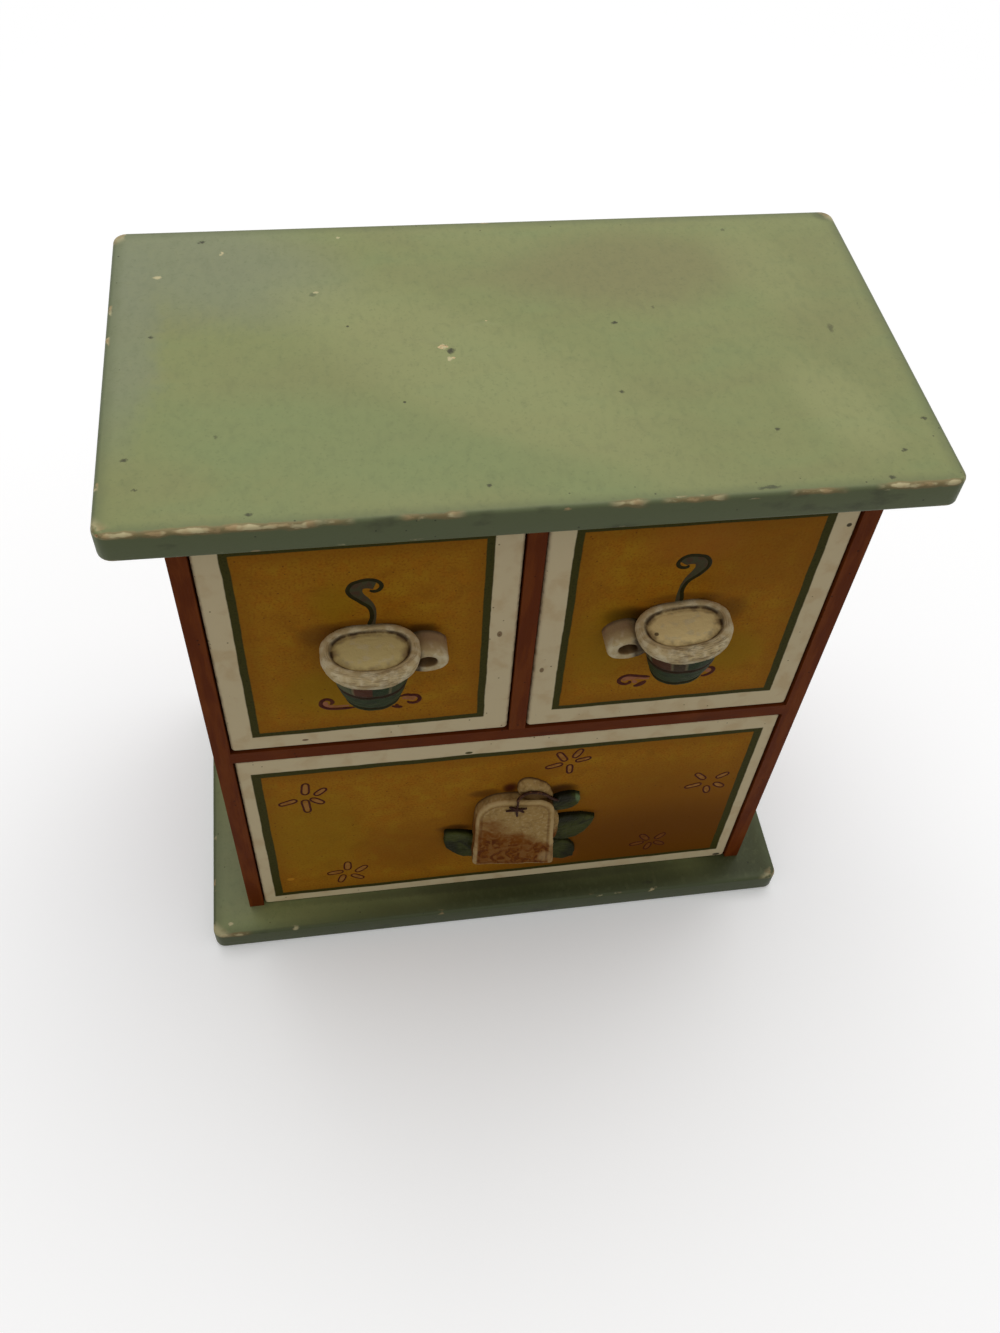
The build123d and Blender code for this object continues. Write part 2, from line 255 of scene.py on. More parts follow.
def pick(test, mode="VERT"):
    """Selects the vertices, edges or faces of the piece being edited that pass a test of their middle."""
    bpy.ops.mesh.select_mode(type=mode)
    bpy.ops.mesh.select_all(action="DESELECT")
    mesh = bpy.context.object.data
    shape = bmesh.from_edit_mesh(mesh)
    if mode == "VERT":
        for vert in shape.verts:
            vert.select = test(vert.co)
    elif mode == "EDGE":
        for edge in shape.edges:
            edge.select = test(*(vert.co for vert in edge.verts))
    else:
        for face in shape.faces:
            face.select = test(face.calc_center_median(), face.normal)
    shape.select_flush_mode()
    bmesh.update_edit_mesh(mesh)


def end(name, finish=None, angle=35):
    """Closes the piece being edited: normals outwards, smooth shading, its name and its finish."""
    bpy.ops.mesh.select_all(action="SELECT")
    bpy.ops.mesh.normals_make_consistent(inside=False)
    bpy.ops.object.mode_set(mode="OBJECT")
    bpy.ops.object.transform_apply(location=True, rotation=True, scale=True)
    bpy.ops.object.shade_smooth_by_angle(angle=math.radians(angle))
    piece = bpy.context.object
    piece.name = name
    piece.data.name = name
    if finish:
        piece.data.materials.clear()
        piece.data.materials.append(finish.material)
    return piece


def work(piece, kind, settings):
    """Puts a modifier on a piece and applies it."""
    alone(piece)
    modifier = piece.modifiers.new(kind.title(), kind)
    for name, value in settings.items():
        setattr(modifier, name, value)
    bpy.ops.object.modifier_apply(modifier=modifier.name)


def uneven(piece, size, strength):
    """Makes a piece's surface uneven by soft random blobs of a size and a height, in mm."""
    blobs = bpy.data.textures.new("blobs", "CLOUDS")
    blobs.noise_scale = size * mm
    blobs.noise_depth = 2
    work(piece, "DISPLACE", {"texture": blobs, "strength": strength * mm, "texture_coords": "LOCAL"})


def green_paint(name, low, high, swaths, marks, rubbed, shade_and_dirt):
    """The green of one board. Swaths are broad soft patches of its face, marks small ones, rubbed the worn
    reaches of its front, and shade_and_dirt the painted shade of its upright edges: a colour and its
    strength."""
    paint = Finish(name, 0.46, 0.2)
    brush = paint.noise(0.05, 4, paint.stretched((0.6, 1.5, 1)), 0.6)
    slant = {0: paint.x + paint.y * 1.3, 1: paint.x * 0.2 - paint.y * 0.2}
    swath = paint.noise(0.022, 4, paint.node("ShaderNodeCombineXYZ", {}, slant))
    fine = paint.noise(1.1, 4)
    grit = paint.noise(0.42, 7, paint.stretched((1, 0.6, 1)), 0.4)
    coats = [
        (green_brown, brush.rise(0.46, 0.7) * 0.3),
        (green_fresh, brush.rise(0.5, 0.3) * 0.4),
        (green_pale, swath.rise(0.5, 0.68) * 0.3),
    ]
    for middle, radii, bearing, patch_colour, strength in swaths:
        turn, soft = math.radians(bearing), (swath - 0.5) * 14.0 + (grit - 0.5) * 6.0
        east, north = paint.x - middle[0], paint.y - middle[1]
        along = east * math.cos(turn) + north * math.sin(turn)
        aside = north * math.cos(turn) - east * math.sin(turn) + soft
        coats.append((patch_colour, paint.patch(along, aside, (0, 0), radii) * strength))
    coats += [
        (green_dark, grit.rise(0.46, 0.74) * 0.15),
        (green_light, grit.rise(0.5, 0.28) * 0.08),
        (green_dark, fine.rise(0.56, 0.72) * 0.22),
        *paint.patches(paint.x + (fine - 0.5) * 2.4, paint.y + (fine - 0.5) * 1.8, marks),
    ]

    side_gap = board_half_width - abs(paint.x)
    front_gap = board_half_depth - abs(paint.y)
    edge_gap = side_gap.least(front_gap)
    level_gap = (paint.z - low).least(high - paint.z)
    upright = edge_gap.rise(1.6, 0.4)
    border = (edge_gap + (grit - 0.5) * 5.0).rise(5.0, 0.5)
    smudge = paint.noise(0.12, 4, paint.stretched((0.5, 1, 1)))
    arris = edge_gap + level_gap
    ragged = paint.noise(0.35, 5, paint.stretched((0.4, 0.4, 1)))
    reach = 0.0
    for start, stop in rubbed:
        reach = paint.x.rise(start - 3, start + 3) * paint.x.rise(stop + 3, stop - 3) + reach
    reach = reach * (paint.y + board_half_depth).rise(6.0, 3.0) * (high - paint.z).rise(3.0, 2.0)
    torn = arris + (ragged - 0.5) * 3.2
    corner = (side_gap + front_gap).rise(9.0, 4.0) * level_gap.rise(1.4, 0.5)
    rub = (torn.rise(0.95, 0.6) * reach).most(arris.rise(1.7, 0.9) * ragged.rise(0.63, 0.7))
    rub = rub.most(corner * ragged.rise(0.46, 0.54) * 0.8)
    worn = paint.over(worn_pale, (worn_orange, paint.noise(0.2, 2).rise(0.42, 0.6) * 0.7))
    dents = paint.specks(0.08, 0.04, 0.4)
    coats += [
        # Painted shade: the upright edge faces are darkened by the colour and strength in shade_and_dirt
        (shade_and_dirt[0], upright * shade_and_dirt[1]),
        (green_dark, border * 0.5),
        (grime_dark, upright * smudge.rise(0.58, 0.72) * 0.5),
        (worn_orange, torn.rise(1.6, 1.0) * reach * 0.4),
        (worn, rub * 0.85),
        (grime_dark, paint.specks(0.4, 0.14, 0.16) * edge_gap.rise(10.0, 3.0) * 0.7),
        (grime_dark, dents * 0.8),
    ]
    height = fine * 0.35 + brush * 0.25 - dents * 0.8 - rub * 0.5
    paint.apply(paint.over(green, *coats), height, 0.00015, 0.42 + fine * 0.12)
    return paint


chip_wood = Finish("chipped_wood", 0.7, 0.2)
chip_brown = (tint(140, 98, 60), chip_wood.noise(0.5, 4).rise(0.45, 0.7))
chip_wood.apply(chip_wood.over(tint(205, 184, 140), chip_brown), chip_wood.noise(2.0, 3), 0.0002)

board_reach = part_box("top_board")[1] / mm
board_half_width, board_half_depth = board_reach.x, board_reach.y
chip_stretch = (1.8, 1.2, 0.9)
chip_edge, chip_edge_height = 1.6, 0.9

# Chips of the top board, as middle and radius: along its front arris, at its corners and on its face
top_chips = [
    ((-114.4, -63.6, 235.2), 1.5), ((-113.6, -64.2, 225.6), 1.2), ((114.7, -63.0, 235.0), 1.3),
    ((113.2, -64.2, 225.8), 1.2), ((114.6, 63.2, 235.1), 1.4), ((-114.6, 63.4, 235.2), 1.4),
    ((-98.0, -64.1, 235.6), 0.9), ((-92.0, -64.2, 235.5), 0.8), ((-66.0, -64.1, 235.6), 0.8),
    ((-31.0, -64.2, 235.5), 1.0), ((-28.0, -64.3, 235.4), 0.8), ((22.0, -64.3, 235.5), 0.8),
    ((36.0, -64.2, 235.6), 0.8), ((70.0, -64.3, 235.5), 0.9), ((101.0, -64.2, 235.6), 0.8),
    ((-115.2, 11.0, 235.6), 0.9), ((115.2, -18.0, 235.6), 0.9), ((115.1, 26.0, 235.5), 0.9),
    ((-20.5, 2.5, 236.1), 1.45), ((-19.0, -2.5, 236.2), 1.4), ((-6.0, 13.5, 236.6), 1.7),
    ((40.0, 64.2, 235.5), 0.9), ((-60.0, 64.2, 235.5), 0.9),
]
base_chips = [
    ((-114.6, -63.5, 9.7), 1.3), ((114.6, -63.4, 9.7), 1.1), ((-113.8, -64.2, 0.0), 1.2),
    ((-115.2, -20.0, 10.1), 0.9), ((-115.2, 30.0, 10.1), 0.9), ((115.2, -30.0, 10.1), 0.8),
    ((114.6, 63.2, 9.6), 1.3), ((-114.6, 63.4, 9.7), 1.3),
]

# Reaches of the front arris that are rubbed through, from left to right
top_rubs = [(-114, -60), (-57, -52), (-37, -24), (17, 24), (31, 45), (66, 78), (90, 112)]
base_rubs = [(-114, -101)]

# Broad patches of the top board, as middle, radii, bearing in degrees, colour and strength; the blue-grey
# ones are a painted sheen
top_swaths = [
    ((-92.0, 46.0), (62.0, 36.0), -20, green_blue_sheen, 0.75),
    ((-110.0, 12.0), (58.0, 14.0), 90, green_blue_sheen, 0.7),
    ((40.0, 36.0), (56.0, 24.0), 0, green_brown, 1.0),
    ((98.0, 10.0), (60.0, 20.0), 90, green_brown, 0.3),
    ((-16.0, -6.0), (80.0, 29.0), -38, green_light, 0.45),
    ((-50.0, 20.0), (26.0, 14.0), -38, green_light, 0.2),
    ((81.0, 34.0), (32.0, 16.0), -75, green_light, 0.3),
    ((88.0, -32.0), (28.0, 15.0), -70, green_light, 0.5),
    ((-58.0, -34.0), (66.0, 24.0), -12, green_fresh, 0.55),
    ((0.0, -50.0), (40.0, 14.0), -20, green_fresh, 0.5),
]

# Small patches of the top board: scratches and dirt, as middle, radii, colour and strength
top_marks = [
    ((-100.6, 40.0), (1.7, 0.9), worn_pale, 0.95), ((-82.0, 51.0), (0.7, 1.3), worn_pale, 0.9),
    ((-20.4, 2.6), (0.9, 1.6), worn_pale, 0.9), ((-19.2, -2.8), (0.8, 1.3), worn_pale, 0.9),
    ((95.5, 3.0), (1.0, 2.6), grime_dark, 0.5), ((75.5, 54.5), (0.9, 1.1), grime_dark, 0.5),
    ((44.0, 16.5), (0.9, 0.9), grime_dark, 0.5), ((-56.0, 29.0), (1.4, 1.2), green_dark, 0.7),
    ((-55.0, 30.0), (1.2, 0.5), worn_pale, 0.8), ((-47.0, 57.0), (0.6, 0.9), worn_pale, 0.8),
    ((-107.0, -37.0), (1.3, 0.8), grime_dark, 0.8), ((-104.0, -48.0), (0.9, 0.7), grime_dark, 0.7),
    ((-84.0, -30.0), (0.9, 0.9), grime_dark, 0.5), ((-113.6, 25.0), (1.0, 1.4), grime_dark, 0.8),
    ((-18.4, 0.6), (1.4, 1.5), grime_dark, 0.9),
    ((-88.0, 57.0), (1.2, 1.0), grime_dark, 0.9), ((-101.5, 12.5), (1.0, 0.8), grime_dark, 0.8),
    ((31.0, 10.0), (1.2, 0.8), grime_dark, 0.9), ((27.0, -20.5), (0.9, 0.9), grime_dark, 0.8),
    ((-15.0, -54.0), (1.0, 0.8), grime_dark, 0.8), ((-76.0, -59.0), (1.3, 0.8), grime_dark, 0.8),
    ((67.0, -39.0), (1.0, 0.9), grime_dark, 0.8), ((58.5, -61.0), (4.0, 0.8), grime_dark, 0.8),
    ((93.0, -60.0), (1.3, 1.0), grime_dark, 0.8), ((100.0, -50.0), (1.0, 0.8), grime_dark, 0.8),
    ((110.0, -38.0), (1.2, 1.0), grime_dark, 0.8), ((112.0, 61.0), (6.0, 4.0), grime_dark, 0.5),
]
# Painted shade with some grime: the base board's front reach and upright edges are darkened to this green
base_shade_green = tint(50, 54, 26)
# Broad patches of the base board: a painted sheen at the left, and painted shade with some grime along its
# front and at its right front corner
base_swaths = [
    ((-106.0, -30.0), (16.0, 40.0), 0, green_blue_sheen, 0.4),
    ((24.0, -66.0), (122.0, 24.0), 0, base_shade_green, 0.95),
    ((104.0, -52.0), (28.0, 44.0), 0, base_shade_green, 0.9),
]
# Small marks of the base board; the long dark one along the foot of the case front is painted shade in that
# corner, with grime
base_marks = [
    ((-107.5, -58.5), (1.2, 1.0), worn_pale, 0.9), ((0.0, -53.0), (100.0, 3.0), grime_dark, 0.5),
    ((60.0, -60.0), (3.0, 1.2), grime_dark, 0.6),
]


def board(name, chips, swaths, marks, rubbed, shade_and_dirt):
    """A board of the case's plan: rounded corners, soft arrises, and chips cut out of it."""
    low, high = (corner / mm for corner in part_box(name))
    middle, size = (low + high) / 2 * mm, (high - low) * mm
    begin(bpy.ops.mesh.primitive_cube_add, size=1, location=middle, scale=size)
    pick(lambda a, b: abs(a.z - b.z) > 5 * mm, "EDGE")
    bpy.ops.mesh.bevel(offset=board_corner * mm, segments=6)
    top, bottom = high.z * mm, low.z * mm
    flat = 0.01 * mm
    pick(lambda a, b: abs(a.z - b.z) < flat and min(abs(a.z - top), abs(a.z - bottom)) < flat, "EDGE")
    bpy.ops.mesh.bevel(offset=board_arris * mm, segments=4)
    for axis, reach in ((0, board_half_width), (1, board_half_depth)):
        for step in range(1, board_grid):
            point, normal = [0, 0, 0], [0, 0, 0]
            point[axis] = (2 * step / board_grid - 1) * (reach - board_corner) * mm
            normal[axis] = 1
            bpy.ops.mesh.select_all(action="SELECT")
            bpy.ops.mesh.bisect(plane_co=point, plane_no=normal)
    paint = green_paint(name + "_green", low.z, high.z, swaths, marks, rubbed, shade_and_dirt)
    piece = end(name + "_worn", paint, 30)
    piece.data.materials.append(chip_wood.material)

    cutters = []
    ball = bpy.ops.mesh.primitive_ico_sphere_add
    for chip, radius in chips:
        begin(ball, subdivisions=3, radius=radius * mm, location=Vector(chip) * mm, scale=chip_stretch)
        bpy.ops.object.mode_set(mode="OBJECT")
        cutters.append(bpy.context.object)
    alone(*cutters)
    bpy.ops.object.join()
    cutter = bpy.context.object
    cutter.data.materials.append(chip_wood.material)
    uneven(cutter, chip_edge, chip_edge_height)
    work(piece, "BOOLEAN", {"operation": "DIFFERENCE", "object": cutter, "solver": "EXACT"})
    bpy.data.objects.remove(cutter)
    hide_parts(name)
    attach(piece, "cabinet")
    return piece


# The last value of each board is the painted shade of its upright edges
board("top_board", top_chips, top_swaths, top_marks, top_rubs, (green_dark, 0.8))
board("base_board", base_chips, base_swaths, base_marks, base_rubs, (base_shade_green, 0.85))


# Back panel and drawer bottoms: thin brown hardboard, speckled by lighter and darker fibres. The back
# panel also shows the weave of the press's wire screen.

board_brown = tint(112, 78, 50)
board_brown_dark = tint(82, 54, 34)
board_brown_light = tint(140, 104, 70)


def hardboard_finish(name, screen):
    """Speckled brown board, with the press's wire screen in its surface by an amount."""
    finish = Finish(name, 0.72, 0.25)
    fibre = finish.noise(0.9, 5, finish.stretched((1, 1, 0.45)))
    colour = finish.over(
        board_brown,
        (board_brown_dark, fibre.rise(0.48, 0.66)),
        (board_brown_light, finish.noise(0.05, 3).rise(0.42, 0.7) * 0.3),
        (board_brown_light, finish.noise(2.4, 2).rise(0.62, 0.7) * 0.5),
    )
    weave = (finish.x * 4.2).wave() * (finish.z * 4.2).wave()
    finish.apply(colour, fibre * 0.5 + weave * screen, 0.00016)
    return finish


drawers = ("upper_left_drawer", "upper_right_drawer", "lower_drawer")
dress(["back_panel"], hardboard_finish("hardboard_back", 0.5))
dress([drawer + "_bottom" for drawer in drawers], hardboard_finish("hardboard_bottom", 0))


# Drawer boxes: plain softwood sides and backs, planed and left bare, grooved for the bottom.
# The grain runs along each board, and the wood has yellowed a little with age.

pine = tint(206, 168, 116)
pine_late = tint(168, 122, 72)
pine_pale = tint(222, 190, 142)


def bare_grain(finish, along):
    """Growth lines and fibres that run along one axis of a board, as a colour and a height."""
    slow = [1.0, 1.0, 1.0]
    slow[along] = 0.06
    bend = finish.noise(0.09, 2, finish.stretched(slow))
    rings = ((bend * 46.0).wave() * 0.5 + 0.5).rise(0.35, 0.95)
    slow[along] = 0.03
    fibres = finish.noise(2.2, 3, finish.stretched(slow))
    colour = finish.over(
        pine,
        (pine_late, rings * 0.55),
        (pine_pale, fibres.rise(0.5, 0.7) * 0.4),
        (pine_late, fibres.rise(0.46, 0.3) * 0.35),
    )
    return colour, fibres * 0.7 - rings * 0.3


lengthwise = ("lengthwise", 1, ("_left_side", "_right_side"))
crosswise = ("crosswise", 0, ("_back",))
for direction, along, suffixes in (lengthwise, crosswise):
    bare = Finish("bare_wood_" + direction, 0.62, 0.3)
    bare.apply(*bare_grain(bare, along), 0.00014)
    dress([drawer + suffix for drawer in drawers for suffix in suffixes], bare)
    if along == 0:
        dress(["top_dowels"], bare)


# Drawer fronts: softwood boards painted cream, with a mustard panel inside a dark green line.
# The panel is dabbed on unevenly, and browned round its edge and behind the knob. Their backs are bare.

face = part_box("lower_drawer_front")[0].y / mm
front_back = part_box("lower_drawer_front")[1].y / mm

cream = tint(222, 204, 164)
cream_warm = tint(204, 174, 128)
line_green = tint(64, 61, 24)
line_green_dark = tint(44, 44, 18)
mustard = tint(166, 112, 26)
mustard_yellow = tint(174, 128, 30)
mustard_brown = tint(136, 84, 18)
mustard_olive = tint(150, 116, 20)
mustard_rose = tint(160, 98, 34)
mustard_orange = tint(170, 106, 22)
antique = tint(88, 52, 18)
shadow_brown = tint(56, 30, 10)

line_softness = 0.2


def framed(finish, edges, x, z):
    """1 inside a frame of left, right, and the heights of its bottom and top lines at their two ends."""
    left, right, bottom, top = edges
    soft = line_softness
    share = (x - left) / (right - left)
    floor = share * (bottom[1] - bottom[0]) + bottom[0]
    roof = share * (top[1] - top[0]) + top[0]
    across = x.rise(left - soft, left + soft) * x.rise(right + soft, right - soft)
    return across * (z - floor).rise(-soft, soft) * (roof - z).rise(-soft, soft)


def front_finish(drawer, outer, inner, halos, rubs):
    """The paint of one front. Halos are brown patches on the panel, some of them painted shade; rubs small
    marks of any colour.
    """
    finish = Finish(drawer + "_front_paint", 0.55, 0.04)
    low, high = (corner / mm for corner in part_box(drawer + "_front"))
    drift = (finish.noise(0.07, 2) - 0.5) * 0.8 + (finish.noise(0.5, 2) - 0.5) * 0.2
    x, z = finish.x + drift, finish.z + drift
    line = framed(finish, outer, x, z)
    panel = framed(finish, inner, x, z)

    speck = finish.noise(1.3, 4)
    dab = finish.noise(0.13, 5, distortion=0.3)
    shade_and_dirt = finish.noise(0.35, 4)
    gap = (finish.x - low.x).least(high.x - finish.x).least((finish.z - low.z).least(high.z - finish.z))
    ground = finish.over(
        cream,
        (cream_warm, dab.rise(0.46, 0.7) * 0.5),
        (antique, gap.rise(1.1, 0.1) * shade_and_dirt.rise(0.42, 0.66) * 0.45),
        (antique, finish.specks(0.35, 0.12, 0.35) * 0.75),
        (antique, finish.y.rise(face + 0.5, face + 1.6) * 0.45),
    )

    left, right, bottom, top = inner
    inset = (finish.x - left).least(right - finish.x)
    inset = inset.least((finish.z - bottom[0]).least(top[0] - finish.z)) + (dab - 0.5) * 9.0
    dabbed = finish.over(
        mustard,
        (mustard_yellow, dab.rise(0.48, 0.3) * 0.7),
        (mustard_brown, dab.rise(0.5, 0.72) * 0.4),
        (mustard_orange, finish.noise(0.3, 4).rise(0.48, 0.64) * 0.5),
        (mustard_brown, speck.rise(0.52, 0.66) * 0.55),
        (mustard_yellow, speck.rise(0.46, 0.32) * 0.5),
        (mustard_brown, inset.rise(7.0, 0.0) * 0.45),
        *finish.patches(finish.x, finish.z + (dab - 0.5) * 4.0, halos),
        (antique, finish.specks(0.4, 0.13, 0.3) * 0.75),
    )

    wood, height = bare_grain(finish, 0)
    bare = (finish.y + (shade_and_dirt - 0.5) * 2.0).rise(front_back - 1.5, front_back - 1.0)
    colour = finish.over(
        ground,
        (finish.over(line_green, (line_green_dark, speck.rise(0.5, 0.66) * 0.6)), line),
        (dabbed, panel),
        *finish.patches(finish.x, finish.z, rubs, 0.5),
        (wood, bare),
    )
    coat = speck * 0.4 + dab * 0.4 + line * 0.25 + panel * 0.2
    finish.apply(colour, coat * (1 - bare) + height * bare, 0.00016, 0.5 + speck * 0.14)
    dress([drawer + "_front"], finish)


front_finish(
    "upper_left_drawer",
    (-86.5, -11.7, (126.3, 127.0), (214.7, 214.9)),
    (-84.0, -14.1, (128.4, 129.2), (212.2, 212.4)),
    [
        ((-48.5, 172.0), (24.0, 13.0), mustard_brown, 0.6), ((-62.0, 176.0), (9.0, 7.0), antique, 0.4),
        ((-50.0, 179.5), (15.0, 3.0), antique, 0.5), ((-32.0, 174.5), (7.0, 4.5), shadow_brown, 0.8),
        ((-57.0, 190.0), (9.0, 11.0), mustard_olive, 0.5),
        ((-60.0, 147.0), (22.0, 16.0), mustard_olive, 0.6),
    ],
    [((-70.0, 122.5), (1.2, 0.6), antique, 0.8), ((-8.5, 170.0), (0.9, 1.6), antique, 0.7)],
)
front_finish(
    "upper_right_drawer",
    (11.0, 86.7, (127.5, 127.9), (214.7, 214.9)),
    (13.4, 83.9, (129.5, 129.9), (212.2, 212.4)),
    [
        ((46.0, 172.0), (24.0, 13.0), mustard_brown, 0.6), ((30.0, 174.0), (9.0, 5.5), shadow_brown, 0.85),
        ((48.0, 180.5), (15.0, 3.0), antique, 0.5), ((63.0, 174.0), (7.0, 7.0), antique, 0.4),
        ((70.0, 200.0), (30.0, 26.0), mustard_brown, 0.5),
        ((66.0, 152.0), (16.0, 14.0), mustard_olive, 0.6),
        ((24.0, 160.0), (14.0, 26.0), mustard_olive, 0.5),
        ((46.0, 205.0), (20.0, 12.0), mustard_rose, 0.5),
    ],
    [((91.5, 208.0), (0.9, 0.9), grime_dark, 0.9), ((6.0, 150.0), (0.8, 1.4), antique, 0.7)],
)
front_finish(
    "lower_drawer",
    (-89.5, 89.6, (15.2, 16.4), (104.5, 105.1)),
    (-86.4, 86.6, (17.6, 18.2), (101.8, 102.9)),
    [
        ((2.0, 58.0), (34.0, 34.0), mustard_brown, 0.7), ((-20.0, 55.0), (8.5, 3.6), shadow_brown, 0.9),
        ((29.0, 57.5), (9.0, 2.8), shadow_brown, 0.9), ((19.5, 76.0), (7.5, 4.5), shadow_brown, 0.95),
        ((0.0, 80.5), (3.6, 5.0), tint(64, 22, 12), 0.95), ((-9.0, 78.0), (8.0, 3.0), antique, 0.7),
        # Painted shade: the two patches below darken the panel's lower right
        ((62.0, 44.0), (62.0, 56.0), mustard_brown, 0.9),
        ((66.0, 26.0), (84.0, 42.0), tint(98, 54, 8), 0.72),
        ((8.0, 90.0), (16.0, 8.0), mustard_brown, 0.5), ((24.0, 27.0), (8.0, 8.0), tint(150, 84, 34), 0.5),
        ((-70.0, 60.0), (24.0, 40.0), mustard_olive, 0.5),
        ((-36.0, 44.0), (26.0, 24.0), mustard_brown, 0.6),
    ],
    [
        ((-15.8, 105.9), (1.5, 0.8), line_green, 0.95), ((90.5, 12.0), (1.8, 1.0), grime_dark, 0.9),
        ((-82.5, 28.0), (1.6, 1.2), tint(206, 140, 40), 0.7),
    ],
)


# Painted ornaments: steam over each cup and scrolls under it, and flowers of five petals below.
# They are drawn with a fine brush in thick paint, which stands up a little from the panel.

outline_olive = tint(46, 42, 18)
outline_maroon = tint(68, 24, 14)
steam_grey = tint(74, 72, 50)
steam_mauve = tint(80, 62, 46)
scroll_pink = tint(164, 106, 76)
petal_pale = tint(168, 116, 56)

line_stand = 0.12
fill_stand = 0.07


def brush_paint(name, first, second):
    """The colour of a brush stroke, with a second colour that shows where the brush ran thin."""
    finish = Finish(name, 0.5, 0.05)
    colour = finish.over(first, (second, finish.noise(0.45, 3).rise(0.42, 0.66)))
    finish.apply(colour, finish.noise(1.6, 2), 0.0001)
    return finish


def to_mesh(name, curve):
    """Makes a mesh piece from a curve and opens it for editing, selected all over."""
    piece = bpy.data.objects.new(name, curve)
    bpy.context.collection.objects.link(piece)
    alone(piece)
    bpy.ops.object.convert(target="MESH")
    bpy.ops.object.mode_set(mode="EDIT")
    bpy.ops.mesh.select_all(action="SELECT")
    return piece


def round_lines(name, radius, lines, closed=False):
    """Round lines through points of x, y, z and width in mm, as a mesh for editing."""
    curve = bpy.data.curves.new(name, "CURVE")
    curve.dimensions = "3D"
    curve.bevel_depth = radius * mm
    curve.bevel_resolution = 3
    curve.use_fill_caps = True
    for points in lines:
        spline = curve.splines.new("BEZIER")
        spline.bezier_points.add(len(points) - 1)
        spline.use_cyclic_u = closed
        spline.resolution_u = 8
        for knot, (x, y, z, width) in zip(spline.bezier_points, points):
            knot.co = (x * mm, y * mm, z * mm)
            knot.radius = width
            knot.handle_left_type = knot.handle_right_type = "AUTO"
    return to_mesh(name, curve)


def brush(name, strokes, stand, finish, drawer, closed=False):
    """Strokes through points of across, up and width in mm, pressed flat on a drawer's face."""
    lines = [[(across, up, 0, width) for across, up, width in points] for points in strokes]
    piece = round_lines(name, 0.5, lines, closed)
    bpy.ops.mesh.remove_doubles(threshold=0.005 * mm)
    thickest = max(vert.co.z for vert in bmesh.from_edit_mesh(piece.data).verts)
    bpy.ops.transform.resize(value=(1, 1, stand * mm / thickest), center_override=(0, 0, 0))
    piece.rotation_euler = (math.pi / 2, 0, 0)
    piece.location = (0, face * mm, 0)
    piece = end(name, finish, 60)
    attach(piece, drawer)
    return piece


def even(points, width):
    """A line of one width that thins out at both ends."""
    widths = [0.55 * width] + [width] * (len(points) - 2) + [0.6 * width]
    return [(x, z, w) for (x, z), w in zip(points, widths)]


olive_line = brush_paint("olive_line", outline_olive, tint(40, 36, 16))
maroon_line = brush_paint("maroon_line", outline_maroon, tint(84, 38, 18))
steam_fill = brush_paint("steam_fill", steam_grey, steam_mauve)
scroll_fill = brush_paint("scroll_fill", scroll_pink, tint(150, 98, 54))
petal_fill = brush_paint("petal_fill", petal_pale, tint(150, 98, 34))
petal_dim = brush_paint("petal_dim", tint(124, 74, 26), tint(108, 62, 18))

left_steam = [
    (-47.6, 176.5), (-47.3, 179.6), (-46.6, 182), (-46.5, 184), (-46.8, 186), (-47.5, 187.5), (-49, 189),
    (-50.5, 190.7), (-51.8, 192), (-52.7, 193.5), (-53, 194.8), (-52.6, 196.3), (-51.7, 197.6),
    (-50, 198.4), (-48, 198.9), (-46.5, 198.9), (-45, 198.4), (-43.8, 197.3), (-43.4, 196.2),
    (-43.7, 195), (-44.6, 194.1), (-45.8, 193.9), (-46.8, 194.4),
]
right_steam = [
    (46.5, 176.5), (46.4, 180.6), (45.9, 184), (46.2, 186), (47, 188), (48.3, 189.5), (49.8, 190.8),
    (51, 192.3), (52.1, 194.2), (52.3, 195.8), (51.8, 197.3), (50.5, 198.7), (49, 199.2), (47, 199.6),
    (45.3, 199.5), (43.8, 198.7), (42.8, 197.3), (42.6, 196.3), (43.2, 195.1), (44.3, 194.5),
    (45.6, 194.6), (46.1, 195.4),
]
left_steam_fill = [
    (-46.4, 177.0, 1.2), (-46.1, 180.2, 1.2), (-45.9, 184.5, 1.5), (-46.5, 187.6, 1.9),
    (-48.2, 190.3, 2.6), (-50.2, 192.8, 3.4), (-50.7, 195.2, 4.0), (-49.2, 196.9, 3.6),
    (-47.2, 197.0, 3.4), (-45.3, 196.3, 3.2),
]
right_steam_fill = [
    (45.5, 177.0, 1.8), (45.4, 181, 1.8), (45.5, 185, 1.5), (46.0, 187.5, 1.7), (47.3, 190.2, 2.3),
    (49.0, 192.4, 3.2), (50.0, 194.8, 3.9), (49.2, 197.0, 3.9), (47.0, 197.6, 3.6), (45.0, 197.0, 3.4),
    (44.4, 196.2, 2.6),
]
left_scrolls = [
    [(-53, 138.5), (-56, 138.4), (-58, 138.4), (-60, 138.6), (-61.5, 138.9), (-62.8, 139.7),
     (-63.7, 140.8), (-63.8, 142), (-63.3, 143.2), (-62.3, 143.9), (-61.2, 143.7), (-60.3, 142.8),
     (-60.2, 141.8), (-60.8, 141)],
    [(-38.8, 142.3), (-37, 142.9), (-35.5, 142.6), (-33.8, 142.3), (-32.9, 141.3), (-32.7, 140.2),
     (-33.2, 139), (-34.3, 138.4), (-35.6, 138.5), (-36.7, 139.3)],
]
left_commas = [
    [(-41.6, 137.4, 0.7), (-40.6, 137.0, 1.3), (-39.2, 136.7, 1.5), (-38.2, 136.4, 0.7)],
    [(-40.2, 138.4, 0.7), (-39.9, 137.6, 1.3), (-39.4, 136.9, 0.9)],
]
